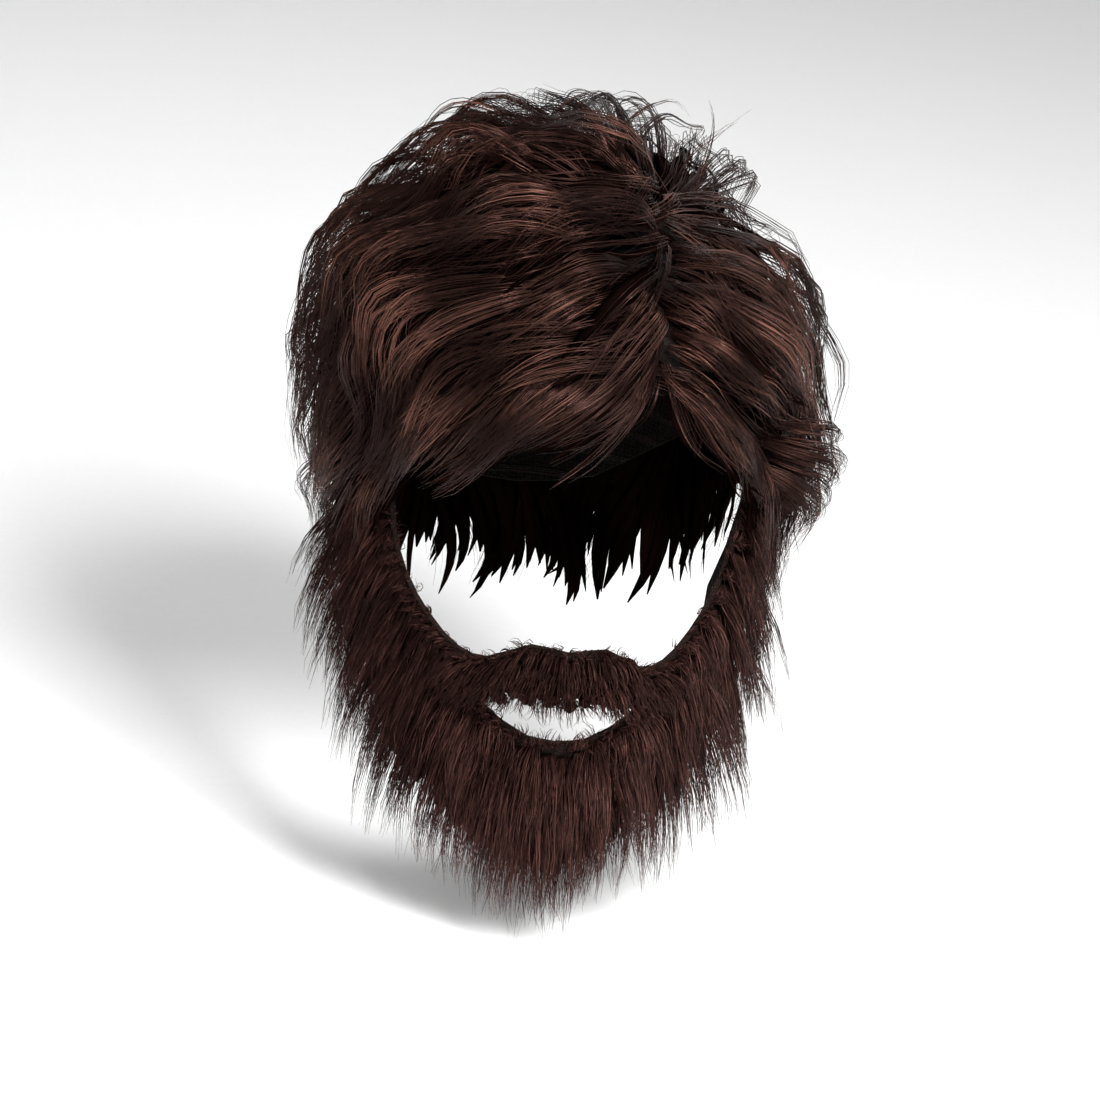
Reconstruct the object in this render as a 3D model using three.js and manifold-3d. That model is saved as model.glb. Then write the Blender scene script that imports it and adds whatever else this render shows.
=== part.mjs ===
// A shaggy short wig with a full beard and moustache, kept in the form that it has on a head.
// Millimetres. +Z is up, the face looks along -Y and the wearer's left is +X.
// The origin is the crown seat: the highest point of the cap's inside, where a head bears on it.
import * as THREE from "three";
import { mergeVertices } from "three/addons/utils/BufferGeometryUtils.js";
import Module from "manifold-3d";

const wasm = await Module();
wasm.setup();

// The head that the wig is cut for.
const HEAD_HALF_WIDTH = 77;
const HEAD_FRONT_REACH = 96;
const HEAD_BACK_REACH = 100;
const CROWN_HEIGHT = 100;

// Walls, the clearance between pieces, and how far a surface may move where its facets are merged.
const CAP_WALL = 2;
const CLOTH_WALL = 2;
const GAP = 0.5;
const FORM_TOLERANCE = 0.45;
const CUT_TOLERANCE = 0.15;
const MERGE_DISTANCE = 0.001;

// Hair: the pad that the locks are rooted in, the locks, and where the hair parts on the forehead.
const HAIR_PAD = 10;
const HAIR_LENGTH = 80;
const HAIR_DEPTH = 27;
const HAIR_LOCK_WIDTH = 25;
const HAIR_LOCK_THICKNESS = 10;
const PART_OFFSET = 14;

// How hair is combed, against 1 for straight away from the whorl: down with distance, and aside at the part.
// A lock reaches its full height at a share of its length, and its tip sinks by a share of that height.
const HAIR_DROOP = 1.3;
const PART_PULL = 1.9;
const CREST_SHARE = 0.62;
const TIP_SINK = 0.25;

// Beard: the pad under the fur, the fur's locks, the drift of their tips to one side, and the mouth.
const FUR_PAD = 6;
const FUR_LENGTH = 50;
const FUR_LOCK_WIDTH = 17;
const FUR_LOCK_THICKNESS = 8;
const BEARD_DRIFT = 0.12;
const MOUTH_HALF_WIDTH = 31;

// How high over the cap or the cloth a lock starts, inside its pad, and how finely the surfaces are divided.
const ROOT_HEIGHT = 2;
const HAIR_STATIONS = 5;
const FUR_STATIONS = 2;
const DOME_COLUMNS = 28;
const CAP_ROWS = 6;
const HEAD_ROWS = 14;
const BEARD_ROWS = 3;
const STEPS_PER_EDGE_ROW = 2;

// Levels count from the crown: 0 is the crown and 1 the head's widest line.
// Below that a level is one crown height. Azimuths run from the face over the wearer's left ear to the nape.
const DEGREE = Math.PI / 180;
const UP = new THREE.Vector3(0, 0, 1);
const HEAD_BOTTOM_LEVEL = 2.6;
const CLEARED_DEPTH = 14;

// The head below its widest line, as shares of its half width and of its reach to the front and the back.
const HEAD_SECTIONS = [
  { level: 1.0, width: 1.0, front: 1.0, back: 1.0 },
  { level: 1.35, width: 0.97, front: 1.0, back: 0.95 },
  { level: 1.65, width: 0.87, front: 1.02, back: 0.8 },
  { level: 1.9, width: 0.8, front: 0.99, back: 0.68 },
  { level: 2.15, width: 0.69, front: 0.93, back: 0.62 },
  { level: 2.35, width: 0.58, front: 0.84, back: 0.6 },
  { level: 2.6, width: 0.5, front: 0.7, back: 0.58 },
];

// The surface that falling hair follows: it hangs clear of the neck.
const FALL_SECTIONS = [
  { level: 1.0, width: 1.0, front: 1.0, back: 1.0 },
  { level: 1.4, width: 0.98, front: 1.0, back: 0.97 },
  { level: 1.8, width: 0.93, front: 1.0, back: 0.9 },
  { level: 2.3, width: 0.88, front: 1.0, back: 0.84 },
];

// The cap's rim: hairline, temple, ear tab, ear and nape.
const CAP_RIM = [
  { azimuth: 0, level: 0.72 },
  { azimuth: 35, level: 0.78 },
  { azimuth: 56, level: 0.96 },
  { azimuth: 70, level: 1.1 },
  { azimuth: 84, level: 1.08 },
  { azimuth: 104, level: 1.0 },
  { azimuth: 130, level: 1.25 },
  { azimuth: 155, level: 1.5 },
  { azimuth: 180, level: 1.56 },
];

// The beard cloth's upper edge (lip, cheek line, sideburn) and its lower edge (chin, jaw, ear).
// From the sideburn on, the upper edge is the cap's rim where that is lower.
const BEARD_EDGES = [
  { azimuth: 0, top: 1.585, bottom: 2.33 },
  { azimuth: 12, top: 1.57, bottom: 2.32 },
  { azimuth: 26, top: 1.66, bottom: 2.27 },
  { azimuth: 36, top: 1.66, bottom: 2.2 },
  { azimuth: 47, top: 1.58, bottom: 2.1 },
  { azimuth: 55, top: 1.46, bottom: 2.02 },
  { azimuth: 59, top: 1.3, bottom: 1.96 },
  { azimuth: 62, top: 1.06, bottom: 1.92 },
  { azimuth: 74, top: 1.0, bottom: 1.76 },
  { azimuth: 86, top: 1.0, bottom: 1.62 },
];

// The mouth hole's edges, from its middle to its corner.
const MOUTH_EDGES = [
  { share: 0, top: 1.77, bottom: 1.965 },
  { share: 0.35, top: 1.768, bottom: 1.955 },
  { share: 0.7, top: 1.785, bottom: 1.905 },
  { share: 1, top: 1.83, bottom: 1.84 },
];

// Windows of the cap that the hair below the crown covers, and the level where the crown's pad ends.
// A pad thins out to a share of its thickness at the cap's rim.
const CROWN_EDGE = 0.45;
const SEAM = 0.012;
const RIM_THICKNESS = 0.4;
const HAIR_WINDOWS = {
  fringe: { from: -57, to: 57, columns: 14, rows: 2 },
  side: { from: 58.5, to: 124, columns: 7, rows: 2 },
  nape: { from: 125.5, to: 234.5, columns: 11, rows: 3 },
};

// Rows of hair wefts. length, lift and width are shares of the hair's length, depth and lock width.
// lift is how far a lock stands off the head, flick how far its tip turns out, as a share of the depth.
const HAIR_WEFTS = [
  { piece: "crown", level: 0.2, from: 62, to: 314, count: 6, length: 0.95, lift: 0.94, flick: 0.1, width: 1.05 },
  { piece: "crown", level: 0.36, from: 72, to: 288, count: 6, length: 0.95, lift: 0.96, flick: 0.1, width: 1.1 },
  { piece: "crown", level: 0.4, from: -61, to: 65, count: 7, length: 0.7, lift: 0.86, flick: 0.1, width: 0.9 },
  { piece: "fringe", level: 0.52, from: -52, to: 54, count: 6, length: 0.8, lift: 0.7, flick: 0.1, width: 1.0 },
  { piece: "fringe", level: 0.6, from: -46, to: 50, count: 7, length: 0.75, lift: 0.6, flick: 0.05, width: 0.85 },
  { piece: "fringe", level: 0.69, from: -42, to: 46, count: 6, length: 0.5, lift: 0.45, flick: 0.05, width: 0.8 },
  { piece: "side", level: 0.6, from: 64, to: 118, count: 4, length: 0.95, lift: 1.0, flick: 0.1, width: 0.95 },
  { piece: "side", level: 0.86, from: 64, to: 120, count: 4, length: 0.9, lift: 0.9, flick: 0.2, width: 0.95 },
  { piece: "side", level: 1.0, from: 68, to: 122, count: 3, length: 0.85, lift: 0.62, flick: 0.1, width: 0.95 },
  { piece: "left", level: 0.78, from: 60, to: 84, count: 3, length: 0.62, lift: 0.95, flick: 0.5, width: 0.5 },
  { piece: "nape", level: 0.62, from: 137, to: 223, count: 5, length: 1.0, lift: 1.0, flick: 0.1, width: 1.15 },
  { piece: "nape", level: 0.92, from: 131, to: 229, count: 6, length: 0.98, lift: 0.88, flick: 0.1, width: 1.15 },
  { piece: "nape", level: 1.2, from: 130, to: 230, count: 5, length: 0.92, lift: 0.62, flick: 0.15, width: 1.15 },
];

// The whorl that the hair grows away from, and the ring of locks round it, reach as a share of the half width.
const WHORL = { azimuth: 12, level: 0.34 };
const WHORL_RING = { reach: 0.16, from: 54, to: 306, count: 5, length: 0.75, lift: 0.8, flick: 0.1, width: 0.9 };

// Windows of the beard cloth that each fur piece covers, and the share of the pad that its edges keep.
const SIDEBURN_START = 40.5;
const FUR_EDGE = 0.25;
const FUR_WINDOWS = {
  sideburn: { from: SIDEBURN_START, to: 86, columns: 7, rows: 3 },
  chin: { from: -SIDEBURN_START + 1, to: SIDEBURN_START - 1, columns: 10, rows: 2 },
  moustache: { from: -SIDEBURN_START + 1, to: SIDEBURN_START - 1, columns: 10, rows: 2 },
};

// Rows of beard fur. length and width are shares of the fur's. lean is how much the fur stands off the cloth,
// splay how much it is combed outwards, against 1 for straight down.
const FUR_ROWS = [
  { piece: "sideburn", level: 1.28, from: 66, to: 84, count: 2, length: 0.7, lean: 0.45, splay: 0.2, width: 1.15 },
  { piece: "sideburn", level: 1.48, from: 62, to: 84, count: 3, length: 0.8, lean: 0.45, splay: 0.3, width: 1.15 },
  { piece: "sideburn", level: 1.68, from: 49, to: 80, count: 4, length: 0.85, lean: 0.45, splay: 0.3, width: 1.15 },
  { piece: "sideburn", level: 1.88, from: 46, to: 66, count: 3, length: 0.95, lean: 0.45, splay: 0.2, width: 1.15 },
  { piece: "chin", level: 1.94, from: -36, to: 36, count: 6, length: 0.8, lean: 0.3, splay: 0.1, width: 1.0 },
  { piece: "chin", level: 2.08, from: -36, to: 36, count: 6, length: 0.95, lean: 0.2, splay: 0, width: 1.15 },
  { piece: "chin", level: 2.22, from: -28, to: 28, count: 5, length: 1.0, lean: 0.1, splay: -0.15, width: 1.15 },
  { piece: "moustache", level: 1.64, from: -26, to: 26, count: 8, length: 0.3, lean: 0.4, splay: 1.3, width: 0.75 },
];

// A table's column at a place between its rows, on a smooth curve that starts level.
function valueAt(table, by, column, place) {
  const last = table.length - 1;
  if (place <= table[0][by]) return table[0][column];
  if (place >= table[last][by]) return table[last][column];
  const row = table.findIndex((entry) => entry[by] > place) - 1;
  const slopeAt = (index) => {
    const low = table[Math.max(index - 1, 0)];
    const high = table[Math.min(index + 1, last)];
    return index === 0 ? 0 : (high[column] - low[column]) / (high[by] - low[by]);
  };
  const span = table[row + 1][by] - table[row][by];
  const share = (place - table[row][by]) / span;
  const square = share * share;
  const cube = square * share;
  return (
    (2 * cube - 3 * square + 1) * table[row][column] +
    (cube - 2 * square + share) * span * slopeAt(row) +
    (3 * square - 2 * cube) * table[row + 1][column] +
    (cube - square) * span * slopeAt(row + 1)
  );
}

// The half width of a level, and its reach to the front or the back.
function sectionAt(sections, level, isFront) {
  const reach = isFront ? HEAD_FRONT_REACH : HEAD_BACK_REACH;
  return {
    width: HEAD_HALF_WIDTH * valueAt(sections, "level", "width", level),
    reach: reach * valueAt(sections, "level", isFront ? "front" : "back", level),
  };
}

// A point of a form at an azimuth and a level.
function formPoint(sections, azimuth, level) {
  const angle = azimuth * DEGREE;
  const { width, reach } = sectionAt(sections, level, Math.cos(angle) > 0);
  const polar = Math.min(level, 1) * 90 * DEGREE;
  const rise = level < 1 ? CROWN_HEIGHT * (Math.cos(polar) - 1) : -CROWN_HEIGHT * level;
  const [across, forward] = [Math.sin(angle), Math.cos(angle)].map((value) => value * Math.sin(polar));
  return new THREE.Vector3(width * across, -reach * forward, rise);
}

// How far a point lies out from a form's middle, as a share: 1 is on the form.
function gauge(sections, point) {
  const level = Math.max(1, -point.z / CROWN_HEIGHT);
  const { width, reach } = sectionAt(sections, level, point.y < 0);
  const above = Math.max(0, point.z + CROWN_HEIGHT) / CROWN_HEIGHT;
  return Math.hypot(point.x / width, point.y / reach, above);
}

// Moves a point straight out from a form's middle until it lies on the form.
function ontoForm(sections, point) {
  const share = 1 / gauge(sections, point);
  const above = Math.max(0, point.z + CROWN_HEIGHT);
  return new THREE.Vector3(point.x * share, point.y * share, point.z + above * (share - 1));
}

// The direction straight off a form at a point on it.
function outwardAt(sections, point) {
  const step = CUT_TOLERANCE;
  const slopes = ["x", "y", "z"].map((axis) => {
    const low = point.clone();
    const high = point.clone();
    low[axis] -= step;
    high[axis] += step;
    return gauge(sections, high) - gauge(sections, low);
  });
  return new THREE.Vector3(...slopes).normalize();
}

// A point at a height over a form.
function raisedPoint(sections, azimuth, level, height) {
  const point = formPoint(sections, azimuth, level);
  return point.addScaledVector(outwardAt(sections, point), height);
}

// A closed solid from points and triangles, with shared corners merged and collapsed triangles dropped.
function solidFrom(positions, faces) {
  const raw = new THREE.BufferGeometry();
  const numbers = positions.flatMap((point) => point.toArray());
  raw.setAttribute("position", new THREE.Float32BufferAttribute(numbers, 3));
  raw.setIndex(faces.flat());
  return solidOf(raw);
}

// A solid from a closed geometry.
function solidOf(geometry) {
  geometry.deleteAttribute("normal");
  geometry.deleteAttribute("uv");
  const merged = mergeVertices(geometry, MERGE_DISTANCE);
  const corners = merged.index.array;
  const triVerts = [];
  for (let start = 0; start < corners.length; start += 3) {
    const [a, b, c] = corners.slice(start, start + 3);
    if (a !== b && b !== c && c !== a) triVerts.push(a, b, c);
  }
  const vertProperties = merged.attributes.position.array;
  return new wasm.Manifold(
    new wasm.Mesh({ numProp: 3, vertProperties, triVerts: new Uint32Array(triVerts) }),
  );
}

// A solid's faces as a geometry.
function geometryOf(solid) {
  const mesh = solid.getMesh();
  const geometry = new THREE.BufferGeometry();
  geometry.setAttribute("position", new THREE.BufferAttribute(mesh.vertProperties, 3));
  geometry.setIndex(new THREE.BufferAttribute(mesh.triVerts, 1));
  geometry.computeVertexNormals();
  return geometry;
}

// A wall over a grid of columns and rows. place(column, row, isOuter) gives its points.
// A dome's last column joins its first, and its row 0 is one point.
function wallSolid({ columns, rows, isDome }, place) {
  const across = isDome ? columns : columns + 1;
  const positions = [];
  for (const isOuter of [true, false])
    for (let row = 0; row <= rows; row++)
      for (let column = 0; column < across; column++) positions.push(place(column, row, isOuter));
  const at = (column, row, isOuter) =>
    (isOuter ? 0 : across * (rows + 1)) + row * across + (column % across);
  const faces = [];
  const quad = (a, b, c, d) => faces.push([a, b, c], [a, c, d]);
  const rim = (columnA, rowA, columnB, rowB) =>
    quad(at(columnA, rowA, true), at(columnA, rowA, false), at(columnB, rowB, false), at(columnB, rowB, true));
  for (let column = 0; column < columns; column++) {
    for (let row = 0; row < rows; row++) {
      quad(
        at(column + 1, row, true),
        at(column, row, true),
        at(column, row + 1, true),
        at(column + 1, row + 1, true),
      );
      quad(
        at(column, row, false),
        at(column + 1, row, false),
        at(column + 1, row + 1, false),
        at(column, row + 1, false),
      );
    }
    rim(column, rows, column + 1, rows);
    if (!isDome) rim(column + 1, 0, column, 0);
  }
  for (let row = 0; row < rows && !isDome; row++) {
    rim(0, row, 0, row + 1);
    rim(columns, row + 1, columns, row);
  }
  return solidFrom(positions, faces);
}

// A closed dome over the head between two heights, down to a level that may vary with azimuth.
function domeSolid({ columns, rows, bottom, inner, outer }) {
  return wallSolid({ columns, rows, isDome: true }, (column, row, isOuter) => {
    const azimuth = (360 * column) / columns;
    const height = isOuter ? outer : inner;
    if (row === 0) return new THREE.Vector3(0, 0, height);
    return raisedPoint(HEAD_SECTIONS, azimuth, (bottom(azimuth) * row) / rows, height);
  });
}

// The turn that a distance makes at the head's widest line.
const turnOf = (distance) => distance / (HEAD_HALF_WIDTH * DEGREE);

// A pad over a window of the head: top and bottom are levels by azimuth, thickness goes by the share from the top.
function padSolid({ from, to, columns, rows, top, bottom, thickness }, grow) {
  const margin = grow / CROWN_HEIGHT;
  const start = from - turnOf(grow);
  const end = to + turnOf(grow);
  return wallSolid({ columns, rows, isDome: false }, (column, row, isOuter) => {
    const azimuth = start + ((end - start) * column) / columns;
    const high = top(azimuth) - margin;
    const low = bottom(azimuth) + margin;
    const height = isOuter ? thickness(row / rows) + grow : 0;
    return raisedPoint(HEAD_SECTIONS, azimuth, high + ((low - high) * row) / rows, height);
  });
}

// A lock's section, flat below and domed outside, as shares of its half width and half thickness.
// Its fullness along the lock is a stretch of a sine's arch, widened a little by the power.
const LOCK_FULLNESS = { start: 0.22, span: 0.72, power: 0.8 };
const LOCK_OUTLINE = [
  { side: -1, out: -0.5 },
  { side: -0.45, out: 1 },
  { side: 0.45, out: 1 },
  { side: 1, out: -0.5 },
];

// A tapered lock along stations of {centre, out, share}, ending in a point.
function lockSolid(stations, width, thickness, grow) {
  const size = LOCK_OUTLINE.length;
  const rings = stations.length - 1;
  const positions = stations.slice(0, rings).flatMap(({ centre, out, share }, index) => {
    const along = stations[index + 1].centre.clone().sub(centre).normalize();
    const side = new THREE.Vector3().crossVectors(along, out).normalize();
    const normal = new THREE.Vector3().crossVectors(side, along);
    const arch = Math.sin((LOCK_FULLNESS.start + LOCK_FULLNESS.span * share) * Math.PI);
    const fullness = arch ** LOCK_FULLNESS.power;
    return LOCK_OUTLINE.map((corner) =>
      centre
        .clone()
        .addScaledVector(side, corner.side * ((width / 2) * fullness + grow))
        .addScaledVector(normal, corner.out * ((thickness / 2) * fullness + 2 * grow)),
    );
  });
  const tip = positions.push(stations[rings].centre) - 1;
  const faces = [[0, 2, 1], [0, 3, 2]];
  for (let corner = 0; corner < size; corner++) {
    const next = (corner + 1) % size;
    for (let ring = 0; ring < rings - 1; ring++) {
      const [a, b] = [ring * size + corner, ring * size + next];
      faces.push([a, b + size, a + size], [a, b, b + size]);
    }
    faces.push([(rings - 1) * size + corner, (rings - 1) * size + next, tip]);
  }
  return solidFrom(positions, faces);
}

// Where hair heads at a point: away from the whorl, down with distance, and aside from the part in front.
const whorlPoint = formPoint(HEAD_SECTIONS, WHORL.azimuth, WHORL.level);
function hairHeading(point, out) {
  const away = point.clone().sub(whorlPoint);
  const distance = away.length() / CROWN_HEIGHT;
  const forward = Math.max(0, -point.y / HEAD_FRONT_REACH);
  const partSide = Math.tanh((point.x - PART_OFFSET * forward) / PART_OFFSET);
  const heading = away.normalize().addScaledVector(UP, -HAIR_DROOP * Math.min(1, distance));
  heading.x += PART_PULL * partSide * forward * forward;
  return heading.addScaledVector(out, -heading.dot(out)).normalize();
}

// The stations of a hair lock from its root on the cap.
function hairStations(start, { length, lift, flick }) {
  const stations = [];
  const root = CAP_WALL + ROOT_HEIGHT;
  const count = Math.ceil(HAIR_STATIONS * length);
  const step = (HAIR_LENGTH * length) / count;
  let point = start.clone();
  for (let index = 0; index <= count; index++) {
    const share = index / count;
    const out = outwardAt(FALL_SECTIONS, point);
    const rise = Math.sin(Math.min(1, share / CREST_SHARE) * 90 * DEGREE);
    const crest = HAIR_DEPTH * (lift * (1 - TIP_SINK * share * share) + flick * share ** 4);
    stations.push({ centre: point.clone().addScaledVector(out, root + (crest - root) * rise), out, share });
    point = ontoForm(FALL_SECTIONS, point.addScaledVector(hairHeading(point, out), step));
  }
  return stations;
}

// The stations of a beard lock: off the cloth, combed aside, then hanging.
function furStations(azimuth, { level, length, lean, splay }) {
  const form = formPoint(HEAD_SECTIONS, azimuth, level);
  const out = outwardAt(HEAD_SECTIONS, form);
  const centre = form.clone().addScaledVector(out, CLOTH_WALL + ROOT_HEIGHT);
  const aside = splay * Math.sin(azimuth * DEGREE);
  const heading = new THREE.Vector3(aside, 0, -1).addScaledVector(out, lean).normalize();
  const count = Math.ceil(FUR_STATIONS * length) + 1;
  const step = (FUR_LENGTH * length) / count;
  const stations = [];
  for (let index = 0; index <= count; index++) {
    stations.push({ centre: centre.clone(), out, share: index / count });
    centre.addScaledVector(heading, step);
    heading.add(new THREE.Vector3(BEARD_DRIFT / count, 0, -1 / count)).normalize();
  }
  return stations;
}

// A row's places, evenly from its start to its end.
const spread = ({ from, to, count }) =>
  Array.from({ length: count }, (_, index) => from + ((to - from) * index) / (count - 1));

// The levels of the cap's rim, the beard's edges and the mouth by azimuth.
const turned = (azimuth) => Math.abs(((azimuth + 180) % 360) - 180);
const rimLevel = (azimuth) => valueAt(CAP_RIM, "azimuth", "level", turned(azimuth));
const beardTop = (azimuth) =>
  Math.max(
    valueAt(BEARD_EDGES, "azimuth", "top", Math.abs(azimuth)),
    rimLevel(azimuth) + GAP / CROWN_HEIGHT,
  );
const beardBottom = (azimuth) => valueAt(BEARD_EDGES, "azimuth", "bottom", Math.abs(azimuth));
function mouthLevel(edge, azimuth) {
  const cornerLevel = MOUTH_EDGES.at(-1)[edge];
  const { width } = sectionAt(HEAD_SECTIONS, cornerLevel, true);
  const share = (width * Math.sin(Math.abs(azimuth) * DEGREE)) / MOUTH_HALF_WIDTH;
  return valueAt(MOUTH_EDGES, "share", edge, share);
}

// wig_cap, and what it and the head keep clear
const cap = domeSolid({ columns: DOME_COLUMNS, rows: CAP_ROWS, bottom: rimLevel, inner: 0, outer: CAP_WALL });
const capClearance = domeSolid({
  columns: DOME_COLUMNS,
  rows: CAP_ROWS,
  bottom: (azimuth) => rimLevel(azimuth) + GAP / CROWN_HEIGHT,
  inner: -CLEARED_DEPTH,
  outer: CAP_WALL + GAP,
});
const headClearance = domeSolid({
  columns: DOME_COLUMNS,
  rows: HEAD_ROWS,
  bottom: () => HEAD_BOTTOM_LEVEL,
  inner: -CLEARED_DEPTH,
  outer: 0,
});

// beard_cloth: a wall between the beard's edges with the mouth cut through
function clothSolid(grow) {
  const azimuths = BEARD_EDGES.slice(1).flatMap((row, index) => {
    const start = BEARD_EDGES[index].azimuth;
    return Array.from(
      { length: STEPS_PER_EDGE_ROW },
      (_, step) => start + ((row.azimuth - start) * (step + 1)) / STEPS_PER_EDGE_ROW,
    );
  });
  const across = [...azimuths.map((azimuth) => -azimuth).reverse(), 0, ...azimuths];
  const margin = grow / CROWN_HEIGHT;
  const shape = { columns: across.length - 1, rows: BEARD_ROWS, isDome: false };
  return wallSolid(shape, (column, row, isOuter) => {
    const isEnd = column === 0 || column === shape.columns;
    const azimuth = across[column] + (isEnd ? Math.sign(across[column]) * turnOf(grow) : 0);
    const high = beardTop(azimuth) - margin;
    const low = beardBottom(azimuth) + margin;
    const height = isOuter ? CLOTH_WALL + grow : -grow;
    return raisedPoint(HEAD_SECTIONS, azimuth, high + ((low - high) * row) / BEARD_ROWS, height);
  });
}

// The mouth hole, from the head's middle out past the moustache.
function mouthSolid() {
  const half = (edge) =>
    MOUTH_EDGES.map((row) => new THREE.Vector2(row.share * MOUTH_HALF_WIDTH, -row[edge] * CROWN_HEIGHT));
  const mirror = (points) => points.slice(1).map((point) => new THREE.Vector2(-point.x, point.y));
  const right = [...half("bottom"), ...half("top").reverse()];
  const left = [...mirror(half("top")), ...mirror(half("bottom")).reverse()];
  const depth = 2 * HEAD_FRONT_REACH;
  const geometry = new THREE.ExtrudeGeometry(new THREE.Shape([...right, ...left]), {
    depth,
    bevelEnabled: false,
  });
  return solidOf(geometry.rotateX(90 * DEGREE));
}
const mouth = mouthSolid();

// The hair's pads and locks, grown a little where they serve to clear a neighbour.
function hairPad(name, grow) {
  if (name === "crown")
    return domeSolid({
      columns: DOME_COLUMNS / 2,
      rows: 3,
      bottom: () => CROWN_EDGE + grow / CROWN_HEIGHT,
      inner: 0,
      outer: CAP_WALL + HAIR_PAD + grow,
    });
  const seam = SEAM + GAP / CROWN_HEIGHT;
  return padSolid(
    {
      ...HAIR_WINDOWS[name],
      top: () => CROWN_EDGE + seam,
      bottom: (azimuth) => rimLevel(azimuth) - seam,
      thickness: (share) => (CAP_WALL + HAIR_PAD) * (1 + (RIM_THICKNESS - 1) * share),
    },
    grow,
  );
}

const hairLock = (start, row, grow) =>
  lockSolid(hairStations(start, row), HAIR_LOCK_WIDTH * row.width, HAIR_LOCK_THICKNESS, grow);

function whorlLocks(grow) {
  return spread(WHORL_RING).map((turn) => {
    const reach = WHORL_RING.reach * HEAD_HALF_WIDTH;
    const aside = new THREE.Vector3(Math.sin(turn * DEGREE), -Math.cos(turn * DEGREE), 0);
    const start = ontoForm(FALL_SECTIONS, whorlPoint.clone().addScaledVector(aside, reach));
    return hairLock(start, WHORL_RING, grow);
  });
}

function hairParts(name, rows, grow) {
  const locks = rows.flatMap((row) =>
    spread(row).map((azimuth) => hairLock(formPoint(FALL_SECTIONS, azimuth, row.level), row, grow)),
  );
  const ring = name === "crown" ? whorlLocks(grow) : [];
  return wasm.Manifold.union([hairPad(name, grow), ...ring, ...locks]);
}

// The fur's pad is domed from its upper to its lower edge.
const furHeight = (share) =>
  CLOTH_WALL + GAP + FUR_PAD * (FUR_EDGE + (1 - FUR_EDGE) * Math.sin(Math.PI * share));

function furParts(name, grow) {
  const mouthSeam = 2 * GAP / CROWN_HEIGHT;
  const pad = padSolid(
    {
      ...FUR_WINDOWS[name],
      top: name === "chin" ? (azimuth) => mouthLevel("bottom", azimuth) + mouthSeam : beardTop,
      bottom: name === "moustache" ? (azimuth) => mouthLevel("top", azimuth) - mouthSeam : beardBottom,
      thickness: furHeight,
    },
    grow,
  );
  const locks = FUR_ROWS.filter((row) => row.piece === name).flatMap((row) =>
    spread(row).map((azimuth) =>
      lockSolid(furStations(azimuth, row), FUR_LOCK_WIDTH * row.width, FUR_LOCK_THICKNESS, grow),
    ),
  );
  return wasm.Manifold.union([pad, ...locks]);
}

// Merge the facets of joined locks where the form, or a cutter, hardly moves.
const merged = (solid) => solid.asOriginal().simplify(FORM_TOLERANCE);
const cutter = (solid) => solid.asOriginal().simplify(CUT_TOLERANCE);

// Takes away what other pieces need clear, and keeps the one body that holds the pad.
function cleared(solid, others) {
  const left = others.reduce((kept, other) => kept.subtract(other), solid);
  const bodies = left.asOriginal().simplify(CUT_TOLERANCE).decompose();
  return bodies.sort((a, b) => b.volume() - a.volume())[0];
}

const mirrored = (solid) => solid.mirror([1, 0, 0]);
const weftsOf = (...names) => HAIR_WEFTS.filter((row) => names.includes(row.piece));
const WEFTS = {
  crown: weftsOf("crown"),
  fringe: weftsOf("fringe"),
  side: weftsOf("side"),
  left: weftsOf("side", "left"),
  nape: weftsOf("nape"),
};

const underHair = [capClearance, headClearance];
const crownClearance = cutter(hairParts("crown", WEFTS.crown, GAP));
const fringeClearance = cutter(hairParts("fringe", WEFTS.fringe, GAP));
const leftClearance = cutter(hairParts("side", WEFTS.left, GAP));
const rightClearance = mirrored(cutter(hairParts("side", WEFTS.side, GAP)));
const crownHair = cleared(merged(hairParts("crown", WEFTS.crown, 0)), underHair);
const fringe = cleared(merged(hairParts("fringe", WEFTS.fringe, 0)), [...underHair, crownClearance]);
const upperHair = [...underHair, crownClearance, fringeClearance];
const sideHairLeft = cleared(merged(hairParts("side", WEFTS.left, 0)), upperHair);
const sideHairRight = cleared(mirrored(merged(hairParts("side", WEFTS.side, 0))), upperHair);
const napeHair = cleared(merged(hairParts("nape", WEFTS.nape, 0)), [
  ...underHair,
  crownClearance,
  leftClearance,
  rightClearance,
]);

const cloth = cleared(clothSolid(0), [mouth]);
const underFur = [clothSolid(GAP), headClearance];
const sideburnClearance = cutter(furParts("sideburn", GAP));
const chinClearance = cutter(furParts("chin", GAP));
const sideburnLeft = cleared(merged(furParts("sideburn", 0)), [
  ...underFur,
  capClearance,
  leftClearance,
  fringeClearance,
]);
const sideburnRight = cleared(mirrored(merged(furParts("sideburn", 0))), [
  ...underFur,
  capClearance,
  rightClearance,
  fringeClearance,
]);
const bothSideburns = [sideburnClearance, mirrored(sideburnClearance)];
const chinFur = cleared(merged(furParts("chin", 0)), [...underFur, ...bothSideburns]);
const moustache = cleared(merged(furParts("moustache", 0)), [...underFur, ...bothSideburns, chinClearance]);

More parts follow.
